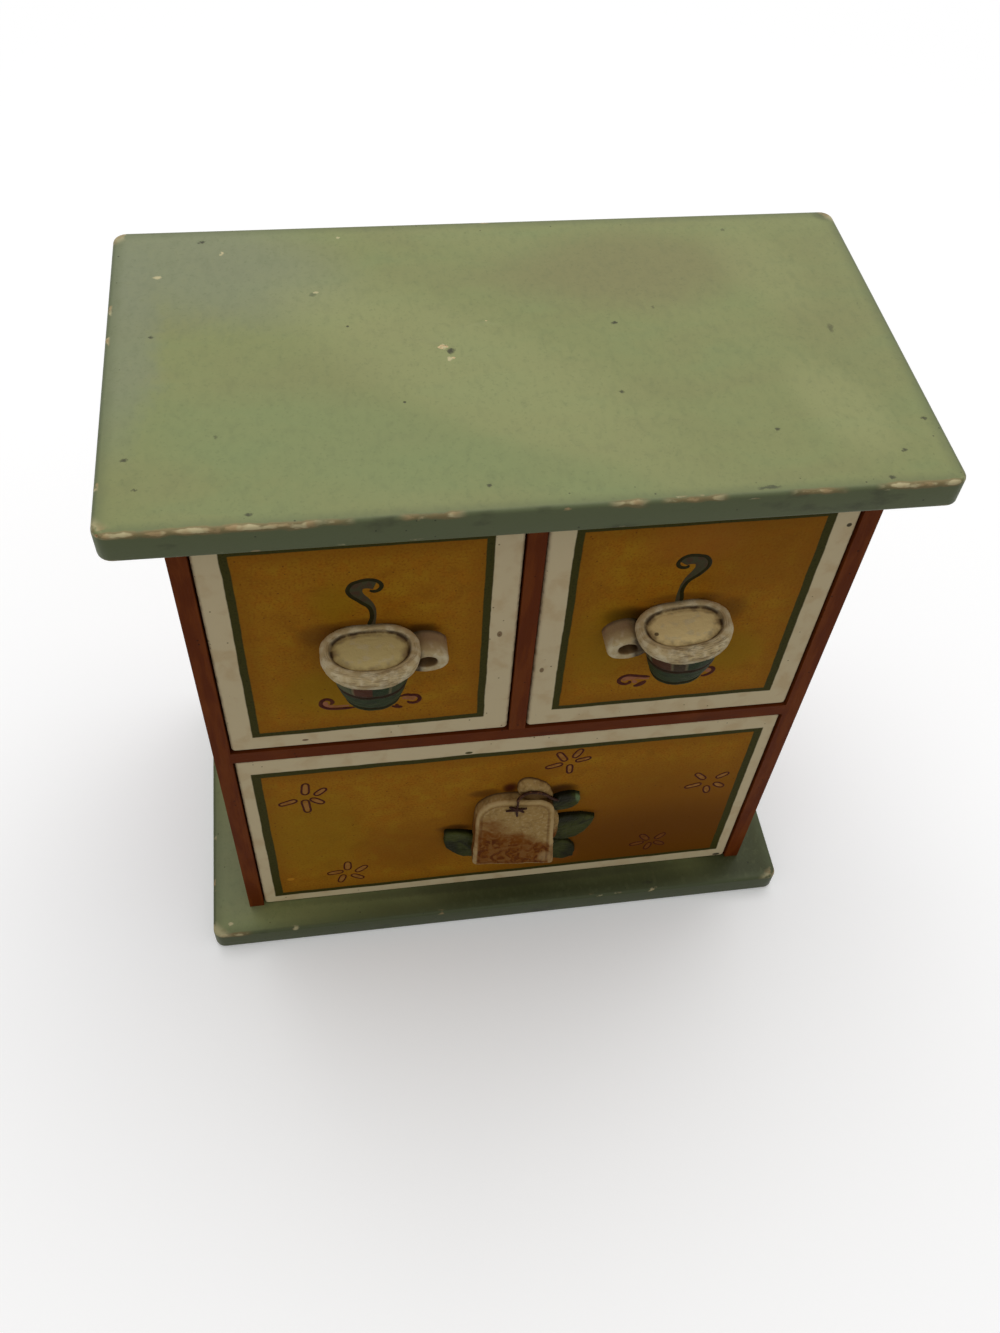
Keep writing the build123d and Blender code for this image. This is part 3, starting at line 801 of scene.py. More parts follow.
right_scrolls = [
    [(42.5, 141.6), (41, 141.9), (39, 142.4), (37, 142.9), (35, 143.3), (33.6, 142.9), (32.6, 142),
     (32.2, 140.8), (32.7, 139.6), (33.8, 138.8), (35.1, 138.7), (36, 139.4), (35.7, 140.2)],
    [(61.6, 144.3), (62.8, 144), (63.7, 143), (63.6, 141.8), (62.8, 140.7), (61.5, 139.9), (60.0, 139.6)],
]
right_commas = [
    [(37.6, 137.1, 0.8), (38.8, 137.4, 1.8), (39.8, 138.0, 2.2), (40.9, 139.0, 1.8), (41.3, 139.7, 0.8)],
]
left_scroll_fill = [
    [(-55, 139.7, 0.7), (-59, 139.8, 1.1), (-61.3, 140.2, 1.5), (-62.4, 141.6, 1.7), (-61.9, 142.6, 1.1)],
    [(-38.2, 141.3, 1.0), (-36.4, 141.2, 1.8), (-34.9, 140.9, 2.4), (-34.1, 140.4, 2.0)],
]
right_scroll_fill = [
    [(42.3, 140.6, 0.7), (39.5, 141.1, 1.0), (36.6, 141.5, 1.5), (34.2, 141.5, 2.2), (33.5, 140.6, 1.6)],
    [(36.9, 140.4, 0.8), (37.8, 139.4, 1.6), (38.4, 138.9, 1.0)],
    [(60.6, 143.0, 1.6), (62.0, 142.4, 1.8), (62.2, 141.5, 1.2)],
]

for side, line, fill in (
    ("left", left_steam, left_steam_fill),
    ("right", right_steam, right_steam_fill),
):
    drawer = f"upper_{side}_drawer"
    brush(side + "_steam_fill", [fill], fill_stand, steam_fill, drawer)
    brush(side + "_steam_line", [even(line, 1.3)], line_stand, olive_line, drawer)
for side, lines, commas, fills in (
    ("left", left_scrolls, left_commas, left_scroll_fill),
    ("right", right_scrolls, right_commas, right_scroll_fill),
):
    drawer = f"upper_{side}_drawer"
    strokes = [even(points, 1.35) for points in lines] + commas
    brush(side + "_scroll_fill", fills, fill_stand, scroll_fill, drawer)
    brush(side + "_scroll_line", strokes, line_stand, maroon_line, drawer)

# Petals of the flowers, each from its inner tip to its outer tip, with its width, and the line's width
flowers = [
    ("upper_left_flower", 0.75, petal_fill, [
        ((-72.6, 88.7), (-72.0, 95.8), 3.2), ((-69.2, 87.8), (-65.4, 91.7), 3.0),
        ((-70.8, 85.8), (-66.6, 82.0), 3.2), ((-73.0, 85.2), (-72.4, 76.8), 3.1),
        ((-75.8, 85.5), (-81.9, 83.2), 2.95),
    ]),
    ("lower_left_flower", 0.6, petal_fill, [
        ((-60.6, 31.0), (-60.3, 37.3), 3.2), ((-57.4, 28.8), (-53.2, 32.95), 3.1),
        ((-59.2, 26.8), (-54.8, 23.2), 2.95), ((-62.2, 27.3), (-63.9, 21.6), 2.95),
        ((-62.4, 30.3), (-68.3, 29.3), 2.95),
    ]),
    ("upper_middle_flower", 0.75, petal_fill, [
        ((19.0, 95.0), (16.0, 100.7), 2.95), ((21.9, 96.6), (24.3, 101.7), 3.1),
        ((22.8, 94.2), (28.0, 95.7), 2.65), ((20.8, 92.2), (21.2, 86.6), 2.75),
        ((18.0, 93.3), (12.2, 91.5), 2.85),
    ]),
    ("upper_right_flower", 0.7, petal_fill, [
        ((74.0, 73.2), (70.0, 77.8), 2.85), ((78.5, 73.4), (82.7, 76.4), 2.95),
        ((78.4, 69.8), (82.4, 66.6), 3.1), ((75.6, 68.2), (76.7, 63.2), 3.1),
        ((73.2, 70.2), (67.2, 68.5), 2.75),
    ]),
    ("lower_right_flower", 0.55, petal_dim, [
        ((58.6, 30.2), (55.2, 35.2), 3.1), ((61.6, 30.6), (65.0, 34.6), 3.0),
        ((57.0, 29.0), (51.6, 27.6), 2.75), ((59.9, 27.8), (58.6, 22.75), 2.85),
        ((61.6, 28.4), (65.8, 25.3), 2.85),
    ]),
]

for name, line_width, fill, petals in flowers:
    outlines, fills = [], []
    for inner_tip, outer_tip, width in petals:
        start, tip = Vector(inner_tip), Vector(outer_tip)
        middle = start.lerp(tip, 0.55)
        side = (tip - start).normalized().orthogonal() * (width - line_width) / 2
        ring = [start, middle + side, tip, middle - side]
        outlines.append([(*point, line_width) for point in ring])
        fills.append([(*start, 0.4), (*middle, width - 0.5), (*start.lerp(tip, 0.9), 0.6)])
    brush(name + "_fill", fills, fill_stand, fill, "lower_drawer")
    brush(name + "_line", outlines, line_stand, maroon_line, "lower_drawer", closed=True)


# Cup knobs: a tea cup cast in resin for each upper drawer, cut flat at the back where it meets the
# front, and painted cream with a green bowl, a patched band and a brown wash in every crease. Painted
# shade darkens it under the rim, between rim and handle, and against the drawer.

cup_corner = 0.91
cup_fullness = 2.35
cup_voxel = 0.3
casting_sink = 0.05

# Ovals of the bowl: half width, depth in front, depth behind, and its middle's distance from the drawer
cup_neck = (11.75, 10.6, 6.6, 8.2)
cup_foot = (8.5, 7.4, 7.0, 6.2)
cup_underside, cup_wall_low, cup_wall_high = -12.8, -11.4, 7.7
cup_groove = -0.3
cup_lean = 0.5


def oval_between(share, shrink=0.0):
    """The bowl's oval at a share of its wall's height, with its centre's lean to one side."""
    swell = math.sin(share * math.pi / 2)
    size = [f + (n - f) * swell for f, n in zip(cup_foot, cup_neck)]
    height = cup_wall_low + (cup_wall_high - cup_wall_low) * share
    return (size[0] - shrink, size[1] - shrink, size[2] - shrink, size[3], height, cup_lean * (1 - swell))


# The bowl's ovals from the foot up, over the rim and in to the tea, each with its height and lean too
groove_share = (cup_groove - cup_wall_low) / (cup_wall_high - cup_wall_low)
cup_ovals = [
    (7.0, 5.9, 5.5, 6.2, cup_underside + 0.3, cup_lean), (7.6, 6.5, 6.1, 6.2, cup_underside, cup_lean),
    (8.5, 7.4, 7.0, 6.2, cup_underside + 0.5, cup_lean), (8.5, 7.4, 7.0, 6.2, cup_underside + 1.1, cup_lean),
    (8.0, 6.9, 6.5, 6.2, cup_wall_low, cup_lean), oval_between(0.07), oval_between(0.2), oval_between(0.35),
    oval_between(0.48), oval_between(groove_share - 0.035), oval_between(groove_share, 0.5),
    oval_between(groove_share + 0.035), oval_between(0.75), oval_between(0.88), oval_between(0.97, 0.2),
    (12.1, 10.9, 7.0, 8.2, 7.6, 0), (13.5, 12.3, 8.5, 8.2, 7.9, 0), (14.35, 13.1, 9.2, 8.2, 8.9, 0),
    (14.55, 13.3, 9.4, 8.2, 10.0, 0), (14.45, 13.2, 9.3, 8.2, 11.0, 0), (14.0, 12.8, 8.9, 8.2, 11.8, 0),
    (13.3, 11.8, 8.2, 8.25, 12.15, 0), (12.4, 9.6, 7.1, 8.35, 12.1, 0), (11.8, 8.4, 6.5, 8.4, 11.8, 0),
    (11.45, 8.0, 6.15, 8.4, 11.1, 0), (10.9, 7.5, 5.6, 8.4, 10.75, 0), (10.0, 6.7, 4.9, 8.4, 10.95, 0),
    (6.0, 4.0, 3.0, 8.4, 11.05, 0), (1.5, 1.0, 0.8, 8.4, 11.05, 0),
]

# The handle, an oval strap ring whose hole runs from front to back
handle_middle, handle_level = 16.5, 2.6
handle_half_width, handle_half_height = 6.7, 4.9
handle_hole_middle = 16.7
handle_hole = Vector((2.9, 2.3))
handle_length, handle_round = 8.5, 0.9
handle_start = 1.2

# The oval of the tea's surface: half width, depth in front and behind, and its middle's distance out
tea_half_width, tea_front, tea_behind, tea_out = 11.6, 8.2, 6.3, 8.4


def to_oval(before, after):
    """Turns the selected oval ring into the next one, its front and its back half each by its own depth."""
    centre = [after[5] * mm, -after[3] * mm, after[4] * mm]
    step = [after[5] - before[5], before[3] - after[3], after[4] - before[4]]
    bpy.ops.transform.translate(value=[value * mm for value in step])
    bpy.ops.transform.resize(value=(after[0] / before[0], 1, 1), center_override=centre)
    mesh = bpy.context.object.data
    ring = [vert for vert in bmesh.from_edit_mesh(mesh).verts if vert.select]
    for half, depth in ((-1, 1), (1, 2)):
        chosen = [vert for vert in ring if half * (vert.co.y - centre[1]) > 0.001 * mm]
        for vert in ring:
            vert.select = vert in chosen
        bpy.ops.transform.resize(value=(1, after[depth] / before[depth], 1), center_override=centre)
    for vert in ring:
        vert.select = True
    bmesh.from_edit_mesh(mesh).select_flush(True)


def mould(piece, voxel, waves, smooth=3):
    """Fuses and softens a piece, makes it uneven as by hand, and cuts it flush behind, still in editing."""
    work(piece, "REMESH", {"mode": "VOXEL", "voxel_size": voxel * mm})
    work(piece, "SMOOTH", {"factor": 0.5, "iterations": smooth})
    for size, strength in waves:
        uneven(piece, size, strength)
    bpy.ops.object.mode_set(mode="EDIT")
    bpy.ops.mesh.select_all(action="SELECT")
    flush = {"plane_co": (0, casting_sink * mm, 0), "plane_no": (0, 1, 0)}
    bpy.ops.mesh.bisect(use_fill=True, clear_outer=True, **flush)


def build_cup():
    """The cup's casting, its screw's axis at the origin, its handle on the right and its back at y = 0."""
    round_start = (1.0, 1.0, 1.0, 0.0, 0.0, 0.0)
    begin(bpy.ops.mesh.primitive_plane_add, size=2 * mm)
    bpy.ops.mesh.select_all(action="SELECT")
    bpy.ops.mesh.bevel(offset=cup_corner * mm, segments=15, affect="VERTICES")
    bpy.ops.mesh.select_all(action="SELECT")
    bpy.ops.mesh.select_mode(type="VERT")
    to_oval(round_start, cup_ovals[0])
    for before, after in zip(cup_ovals, cup_ovals[1:]):
        bpy.ops.mesh.extrude_region_move()
        to_oval(before, after)
    bpy.ops.mesh.edge_face_add()
    bowl = end("bowl")

    side_on = (math.pi / 2, 0, 0)
    start = (handle_middle * mm, handle_start * mm, handle_level * mm)
    begin(bpy.ops.mesh.primitive_circle_add, vertices=48, radius=mm, location=start, rotation=side_on)
    bpy.ops.mesh.select_all(action="SELECT")
    bpy.ops.mesh.select_mode(type="VERT")
    half = Vector((handle_half_width, handle_half_height))
    bpy.ops.transform.resize(value=(half.x, 1, half.y), center_override=start)
    length = handle_start + handle_length
    hole_shift = (handle_hole_middle - handle_middle) * mm
    hole, wider = handle_hole, Vector((1.0, 1.0))
    steps = [
        (length - handle_round, half, 0.0), (handle_round * 0.7, half - wider * 0.3, 0.0),
        (handle_round * 0.3, half - wider * 0.9, 0.0), (0.0, hole + wider * 0.7, hole_shift),
        (-handle_round * 0.3, hole + wider * 0.1, 0.0), (-handle_round, hole, 0.0),
        (handle_round * 1.3 - length, hole - wider * 0.3, 0.0),
    ]
    middle = Vector(start)
    for forward, size, shift in steps:
        bpy.ops.mesh.extrude_region_move()
        step = Vector((shift, -forward * mm, 0))
        middle += step
        bpy.ops.transform.translate(value=step)
        bpy.ops.transform.resize(value=(size.x / half.x, 1, size.y / half.y), center_override=middle)
        half = size
    pick(lambda a, b: min(a.y, b.y) > (handle_start - 0.01) * mm, "EDGE")
    bpy.ops.mesh.bridge_edge_loops()
    alone(bowl, end("handle"))
    bpy.ops.object.join()
    mould(bpy.context.object, cup_voxel, ((5.0, 0.35), (1.1, 0.12)))
    return end("cup")


resin_cream = tint(198, 176, 132)
resin_pale = tint(216, 200, 162)
resin_wash = tint(122, 88, 46)
resin_deep = tint(48, 30, 14)
strap_brown = tint(132, 88, 54)
tea_cream = tint(217, 197, 136)
bowl_green = tint(40, 52, 26)
bowl_green_dark = tint(25, 30, 13)
bowl_green_rub = tint(62, 74, 42)
patch_grey = tint(88, 90, 62)
patch_red = tint(80, 44, 27)


def cup_finish(name, middle, tilt, mirror, patches, scratches, tea_tint, spot):
    """The paint of one cup, on places measured from its screw's axis with its handle on the right."""
    finish = Finish(name, 0.5, 0.06)
    turned = {"Vector": finish.place, "Location": middle, "Rotation": (0, tilt, 0), "Scale": (mirror, 1, 1)}
    own = finish.node("ShaderNodeMapping", {"vector_type": "TEXTURE"}, turned)
    x, y, z = finish.parts(own)
    stain = finish.noise(0.35, 4, own)
    fine = finish.noise(1.6, 3, own)
    out = y + tea_out
    depth = out.rise(0.0, 0.01) * (tea_behind - tea_front) + tea_front
    full = cup_fullness
    ring = (abs(x / tea_half_width) ** full + abs(out / depth) ** full) ** (1 / full)
    around = finish.maths("ARCTAN2", x, 0.0 - out)

    curve = finish.node("ShaderNodeCombineXYZ", {}, {0: around * 2.6, 1: ring * 16.0, 2: z * 1.2})
    threads = finish.noise(0.8, 4, curve)
    place, width, strength = scratches
    worn = finish.noise(2.2, 3, curve).rise(0.52, 0.62) * finish.patch(x, y, place, width, 0.7)

    lip = z.rise(9.6, 10.2) * y.rise(0.5, -0.5)
    brewed = finish.over(
        tea_tint,
        (resin_pale, stain.rise(0.52, 0.68) * 0.5),
        (resin_wash, (ring + (stain - 0.5) * 0.5).rise(0.7, 1.0) * 0.7),
        (resin_deep, finish.patch(x, out, spot, (0.8, 0.8), 0.6) * 0.8),
    )
    ragged = ring + (stain - 0.5) * 0.06
    outline = ragged.rise(0.9, 0.97) * ragged.rise(1.06, 0.99) * lip

    band = z.rise(0.1, 0.5)
    bands = []
    for start, stop, patch_colour, cover in patches:
        inside = around.rise(start, start + 0.05) * around.rise(stop + 0.05, stop)
        seam = around.rise(start - 0.06, start) * around.rise(start + 0.08, start + 0.02)
        bands += [(patch_colour, inside * band * cover), (resin_cream, seam * band * 0.22)]
    crease = abs(z - cup_groove + (stain - 0.5) * 0.6).rise(1.7, 0.6)
    green = finish.over(
        bowl_green,
        (bowl_green_dark, stain.rise(0.45, 0.65) * 0.6),
        (bowl_green_rub, fine.rise(0.52, 0.7) * 0.5),
        *bands,
        (resin_deep, crease * 0.9),
        # Painted shade on the bowl just under the rim's overhang
        (resin_deep, z.rise(5.8, 7.2) * 0.75),
        (resin_deep, abs(z - cup_wall_low).rise(0.6, 0.1) * 0.6),
    )

    # The strap turns brown toward the drawer: its own brown paint, deepened there by painted shade
    strap = x.rise(13.6, 15.2) * y.rise(-7.5, -3.0)
    bore = finish.patch(x, z, (handle_hole_middle, handle_level), handle_hole * 1.15, 0.25)
    # Painted shade on the handle's top, where it meets the rim
    join = x.rise(16.2, 14.0) * x.rise(10.8, 11.6) * z.rise(8.0, 6.5)
    colour = finish.over(
        resin_cream,
        (resin_pale, stain.rise(0.42, 0.62)),
        (resin_wash, threads.rise(0.5, 0.66) * x.rise(15.2, 13.8) * 0.45),
        (resin_wash, fine.rise(0.58, 0.74) * 0.3),
        (resin_deep, worn * strength),
        (brewed, ring.rise(1.0, 0.96) * lip),
        (resin_deep, outline * (stain.rise(0.34, 0.6) * 0.45 + 0.45)),
        (green, z.rise(7.9, 7.3) * (x + z * 0.06 + stain * 0.8).rise(12.2, 11.5)),
        (strap_brown, strap * (stain.rise(0.3, 0.7) * 0.4 + 0.4)),
        (resin_wash, bore * 0.85),
        # Painted shade between the rim and the handle, and where the cup stands against the drawer
        (resin_deep, join * (stain.rise(0.3, 0.5) * 0.3 + 0.6)),
        (resin_deep, y.rise(-1.6, -0.1) * 0.6),
    )
    height = threads * 0.5 + fine * 0.3 - worn * 0.5 - outline * 0.4
    finish.apply(colour, height, 0.0002, 0.46 + fine * 0.12)
    return finish


cup = build_cup()

# Patches of the band, from and to an angle around the bowl, with their colour and how much it covers
left_patches = [
    (-1.35, -0.68, patch_grey, 0.8), (-0.6, -0.05, patch_red, 0.95), (0.48, 0.9, patch_grey, 0.25),
]
right_patches = [
    (0.5, 1.12, patch_red, 0.85), (0.08, 0.46, patch_red, 0.45), (1.2, 1.5, patch_grey, 0.5),
]

# Scratched places of the rims, as middle, radii and strength
left_worn, right_worn = ((3.0, -19.5), (13.0, 4.0), 0.2), ((-4.5, -18.8), (14.0, 4.6), 0.4)

for drawer, tilt, mirror, patches, scratches, tea_tint, spot in (
    ("upper_left_drawer", 0.5, 1, left_patches, left_worn, tea_cream, (-30.0, 0.0)),
    ("upper_right_drawer", -6.5, -1, right_patches, right_worn, tint(240, 216, 155), (8.7, -2.0)),
):
    low, high = (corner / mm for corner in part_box(drawer + "_knob_screw"))
    middle = ((low.x + high.x) / 2, face, (low.z + high.z) / 2)
    knob = cup.copy()
    knob.data = cup.data.copy()
    bpy.context.collection.objects.link(knob)
    angle = math.radians(tilt)
    knob.scale = (mirror, 1, 1)
    knob.rotation_euler = (0, angle, 0)
    knob.location = Vector(middle) * mm
    alone(knob)
    bpy.ops.object.mode_set(mode="EDIT")
    looks = (patches, scratches, tea_tint, spot)
    finish = cup_finish(drawer + "_cup_paint", middle, angle, mirror, *looks)
    knob = end(drawer + "_cup", finish, 60)
    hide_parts(drawer + "_knob")
    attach(knob, drawer)
bpy.data.objects.remove(cup)


# Tag knob: one resin casting of a tea bag with its paper tag, its folded top, four leaves and the
# string, sewn to the tag with a cross. The tag is cream above and rubbed to brown below.

tag_middle = (2.0, face, 59.05)
tag_width, tag_height = 29.5, 37.0
tag_shoulders, tag_foot = (9.5, 6.5), 1.5
tag_taper = 1.1
tag_top_thickness, tag_foot_thickness = 4.9, 10.2
tag_tilt, tag_turn = 1.5, 4.5
bag_width, bag_height, bag_corner, bag_thickness = 31.0, 26.0, 8.0, 3.8
bag_place = (2.1, -5.0)
fold_half = (10.0, 5.5)
fold_place = (7.3, 18.4)
fold_slope = 60.0
fold_thickness = 4.2
casting_voxel = 0.32
slab_start = 0.6


def standing(width, height, corners, thickness, middle=(0, 0)):
    """Opens a slab for editing that stands against the drawer, with four corner radii: top left and
    right, then foot left and right."""
    at = (middle[0] * mm, slab_start * mm, middle[1] * mm)
    begin(bpy.ops.mesh.primitive_plane_add, size=1, location=at, rotation=(math.pi / 2, 0, 0))
    bpy.ops.mesh.select_all(action="SELECT")
    bpy.ops.transform.resize(value=(width * mm, 1, height * mm), center_override=at)
    for (side, level), radius in zip(((-1, 1), (1, 1), (-1, -1), (1, -1)), corners):
        reach = Vector((0.49 * width * mm, 0.49 * height * mm))
        pick(lambda place: side * (place.x - at[0]) > reach.x and level * (place.z - at[2]) > reach.y)
        bpy.ops.mesh.bevel(offset=radius * mm, segments=7, affect="VERTICES")
    bpy.ops.mesh.select_all(action="SELECT")
    bpy.ops.mesh.normals_make_consistent(inside=False)
    forward = (0, -(thickness + slab_start) * mm, 0)
    bpy.ops.mesh.extrude_region_move(TRANSFORM_OT_translate={"value": forward})


def cast(name, finish, waves, smooth=3):
    """Finishes an edited piece as a part of the casting, and moves it to its place on the drawer."""
    piece = end(name)
    mould(piece, casting_voxel, waves, smooth)
    piece.location = Vector(tag_middle) * mm
    piece = end(name, finish, 60)
    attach(piece, "lower_drawer")
    return piece


tag_cream = tint(170, 138, 84)
tag_pale = tint(196, 168, 118)
tag_wash = tint(120, 66, 8)
tag_rust = tint(78, 34, 10)
tag_shade = tint(116, 84, 42)
leaf_green = tint(46, 48, 16)
leaf_green_pale = tint(74, 78, 34)
leaf_dark = tint(24, 22, 8)


def tag_finish(name, tag_face):
    """The tag's and bag's paint: cream, with a brown wash from below that has run into the texture,
    a painted highlight along the tag's rim, and painted shade against the drawer and under the fold and
    string.
    """
    finish = Finish(name, 0.55, 0.06)
    x, z = finish.x - tag_middle[0], finish.z - tag_middle[2]
    stain = finish.noise(0.12, 4)
    fine = finish.noise(0.9, 4)
    crackle = finish.noise(0.3, 5, distortion=1.2)
    low = (z + x * 0.3 + (stain - 0.5) * 16.0).rise(2.5, -3.5)
    left = finish.patch(x, z, (-11.0, 0.0), (12.0, 12.0), 0.9) * (0.5 + stain.rise(0.4, 0.6) * 0.5)
    washed = low.most(left * (0.95 if tag_face else 0.2)) * (0.8 + crackle.rise(0.4, 0.56) * 0.2)
    rust = (z + (stain - 0.5) * 12.0).rise(-2.0, -9.0) * crackle.rise(0.5, 0.6)
    smear = finish.patch(x, z, (-8.5, -4.5), (3.6, 3.4)) * crackle.rise(0.44, 0.54)
    coats = [
        (tag_pale, fine.rise(0.48, 0.66) * 0.5),
        (tag_shade, crackle.rise(0.5, 0.66) * 0.4),
        (tag_wash, washed),
        (tag_rust, rust * 0.6),
        (tag_rust, smear * 0.7),
        (tag_pale, finish.patch(x, z, (11.5, -13.5), (3.0, 4.0)) * 0.45),
    ]
    if tag_face:
        across, up = x - z * 0.026, z + x * 0.026
        across = across + up.rise(-tag_height / 2, tag_height / 2) * tag_taper * across.rise(3.0, 9.0)
        shoulder = across.rise(-0.1, 0.1) * (tag_shoulders[1] - tag_shoulders[0]) + tag_shoulders[0]
        beyond = (abs(across) - (tag_width / 2 - shoulder)).most(0.0)
        above = (up - (tag_height / 2 - shoulder)).most(0.0)
        inset = (shoulder - (beyond * beyond + above * above) ** 0.5).least(up + tag_height / 2)
        lean = (tag_foot_thickness - tag_top_thickness) / tag_height
        turn = math.tan(math.radians(tag_turn))
        thickness = (tag_height / 2 - up) * lean + tag_top_thickness + across * turn
        depth = finish.y - face + thickness
        coats += [
            (tag_rust, abs(inset - 2.0).rise(0.6, 0.2) * 0.35),
            # A painted highlight: a pale line along the rim of the tag's face
            (tag_pale, inset.rise(1.5, 0.8) * depth.rise(1.4, 0.8) * (0.35 + stain.rise(0.4, 0.6) * 0.5)),
            (tag_shade, depth.rise(1.0, 1.8) * 0.2),
            # Painted shade on the slab's top under the fold and string
            (string_shade_brown, depth.rise(0.9, 1.5) * up.rise(8.0, 12.0) * across.rise(0.0, 3.0)),
        ]
    else:
        # Painted shade on the fold below the string
        sag = (x - 5.0) * (x - 5.0) / 9.7
        below = (23.4 - sag - z).rise(-0.3, 0.6) * x.rise(0.5, 2.0) * z.rise(8.0, 10.0)
        coats.append((string_shade_brown, below * 0.9))
    # Painted shade where the tag and bag stand against the drawer, darkest at the drawer in the string's
    # brown
    wall = finish.y.rise(face - (2.6 if tag_face else 1.4), face - 0.4)
    coats += [(tag_shade, wall * 0.5), (string_brown, finish.y.rise(face - 1.0, face - 0.2) * 0.7)]
    height = fine * 0.5 + crackle * 0.4 - rust * 0.3
    finish.apply(finish.over(tag_cream, *coats), height, 0.0003, 0.5 + fine * 0.14)
    return finish


# The string's brown, also laid as painted shade against the drawer, and the brown of the painted shade under
# the string
string_brown = tint(52, 26, 14)
string_shade_brown = tint(78, 52, 20)

tag_corners = (*tag_shoulders, tag_foot, tag_foot)
standing(tag_width, tag_height, tag_corners, (tag_top_thickness + tag_foot_thickness) / 2)
for level in (1, -1):
    pick(lambda place: place.x > 6 * mm and level * place.z > 6 * mm)
    bpy.ops.transform.translate(value=(-level * tag_taper * mm, 0, 0))
pick(lambda place: place.y < -mm)
lean = math.atan2(tag_foot_thickness - tag_top_thickness, tag_height)
front_middle = (0, -(tag_top_thickness + tag_foot_thickness) / 2 * mm, 0)
bpy.ops.transform.rotate(value=lean, orient_axis="X", center_override=front_middle)
bpy.ops.transform.rotate(value=math.radians(tag_turn), orient_axis="Z", center_override=front_middle)
bpy.ops.mesh.bevel(offset=0.9 * mm, segments=3)
pick(lambda middle, normal: normal.y < -0.98 and abs(middle.x) < 3 * mm, "FACE")
bpy.ops.mesh.inset(thickness=0.9 * mm)
bpy.ops.mesh.inset(thickness=0.7 * mm, depth=-0.35 * mm)
bpy.ops.mesh.select_all(action="SELECT")
bpy.ops.transform.rotate(value=-math.radians(tag_tilt), orient_axis="Y", center_override=(0, 0, 0))
tag_paint = tag_finish("tag_paint", True)
bag_paint = tag_finish("bag_paint", False)
tag = cast("tag_slab", tag_paint, ((6.0, 0.7), (1.3, 0.2)))
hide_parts("lower_drawer_knob")

standing(bag_width, bag_height, [bag_corner] * 4, bag_thickness, bag_place)
bpy.ops.mesh.bevel(offset=1.6 * mm, segments=4)
cast("tea_bag", bag_paint, ((7.0, 1.2), (2.0, 0.4)))

fold = {
    "location": (fold_place[0] * mm, 0, fold_place[1] * mm),
    "rotation": (0, math.radians(fold_slope), 0),
    "scale": (fold_half[0], fold_thickness, fold_half[1]),
}
begin(bpy.ops.mesh.primitive_uv_sphere_add, segments=48, ring_count=24, radius=mm, **fold)
cast("bag_fold", bag_paint, ((5.0, 1.0), (1.6, 0.3)))


def leaf_finish(name, stalk, tip, painted_light_and_shade):
    """A leaf's green, dark along its midrib and at its stalk, with patches of painted light and shade and
    painted shade against the drawer, on places along the leaf.
    """
    finish = Finish(name, 0.5, 0.08)
    middle = [tag_middle[0] + stalk[0], 0, tag_middle[2] + stalk[1]]
    bearing = math.atan2(tip[1] - stalk[1], tip[0] - stalk[0])
    turned = {"Vector": finish.place, "Location": middle, "Rotation": (0, -bearing, 0)}
    own = finish.parts(finish.node("ShaderNodeMapping", {"vector_type": "TEXTURE"}, turned))
    along, across = own[0], own[2]
    length = math.dist(stalk, tip)
    stain = finish.noise(0.2, 4)
    fine = finish.noise(1.4, 3)
    veins = (along * 1.5 - abs(across) * 1.6 + stain * 3.0).wave().rise(0.7, 1.0)
    x, z = finish.x - tag_middle[0], finish.z - tag_middle[2] + (stain - 0.5) * 3.0
    colour = finish.over(
        leaf_green,
        (leaf_green_pale, stain.rise(0.46, 0.66) * 0.5),
        (leaf_dark, along.rise(length * 0.35, 0.0) * 0.6),
        (leaf_dark, abs(across + (stain - 0.5) * 1.2).rise(0.9, 0.3) * 0.6),
        (leaf_dark, veins * 0.25),
        (leaf_green_pale, fine.rise(0.58, 0.72) * 0.4),
        *finish.patches(x, z, painted_light_and_shade, 0.8),
        # Painted shade where the leaf lies against the drawer
        (leaf_dark, finish.y.rise(face - 2.2, face - 0.8) * 0.85),
    )
    finish.apply(colour, fine * 0.5 - veins * 0.3, 0.0002, 0.46 + fine * 0.14)
    return finish


# Each leaf's stalk end, tip, widths along it and patches of painted light and shade, all measured from the
# screw
leaves = [
    ("left_leaf", (-9.25, -23.5), (-25.6, -3.6), (11.0, 14.2, 8.4), [
        ((-21.0, -6.0), (6.0, 5.0), leaf_green_pale, 0.65), ((-24.0, -16.0), (5.0, 8.0), leaf_dark, 0.7)]),
    ("right_leaf", (11.0, -13.0), (32.0, -2.4), (12.6, 16.8, 9.4), [
        ((18.0, -1.0), (9.0, 4.0), leaf_dark, 0.8), ((23.0, -9.5), (8.0, 5.5), leaf_green_pale, 0.45)]),
    ("low_leaf", (11.0, -18.5), (26.0, -31.5), (9.6, 13.6, 9.4), [
        ((24.0, -27.0), (4.0, 7.0), leaf_dark, 0.7), ((19.0, -24.0), (5.0, 5.0), leaf_green_pale, 0.3)]),
    ("high_leaf", (12.5, 6.5), (24.5, 14.5), (7.4, 10.6, 7.4), [
        ((16.5, 14.5), (6.5, 4.5), leaf_dark, 0.95), ((23.6, 15.5), (1.6, 5.5), tint(110, 130, 86), 0.8)]),
]

# A leaf's half thickness before its rounding, the rounding, its distance out, and where its ribs are
leaf_flat, leaf_round = 0.75, 0.7
leaf_out = 0.9
leaf_shares = (0.22, 0.5, 0.8)

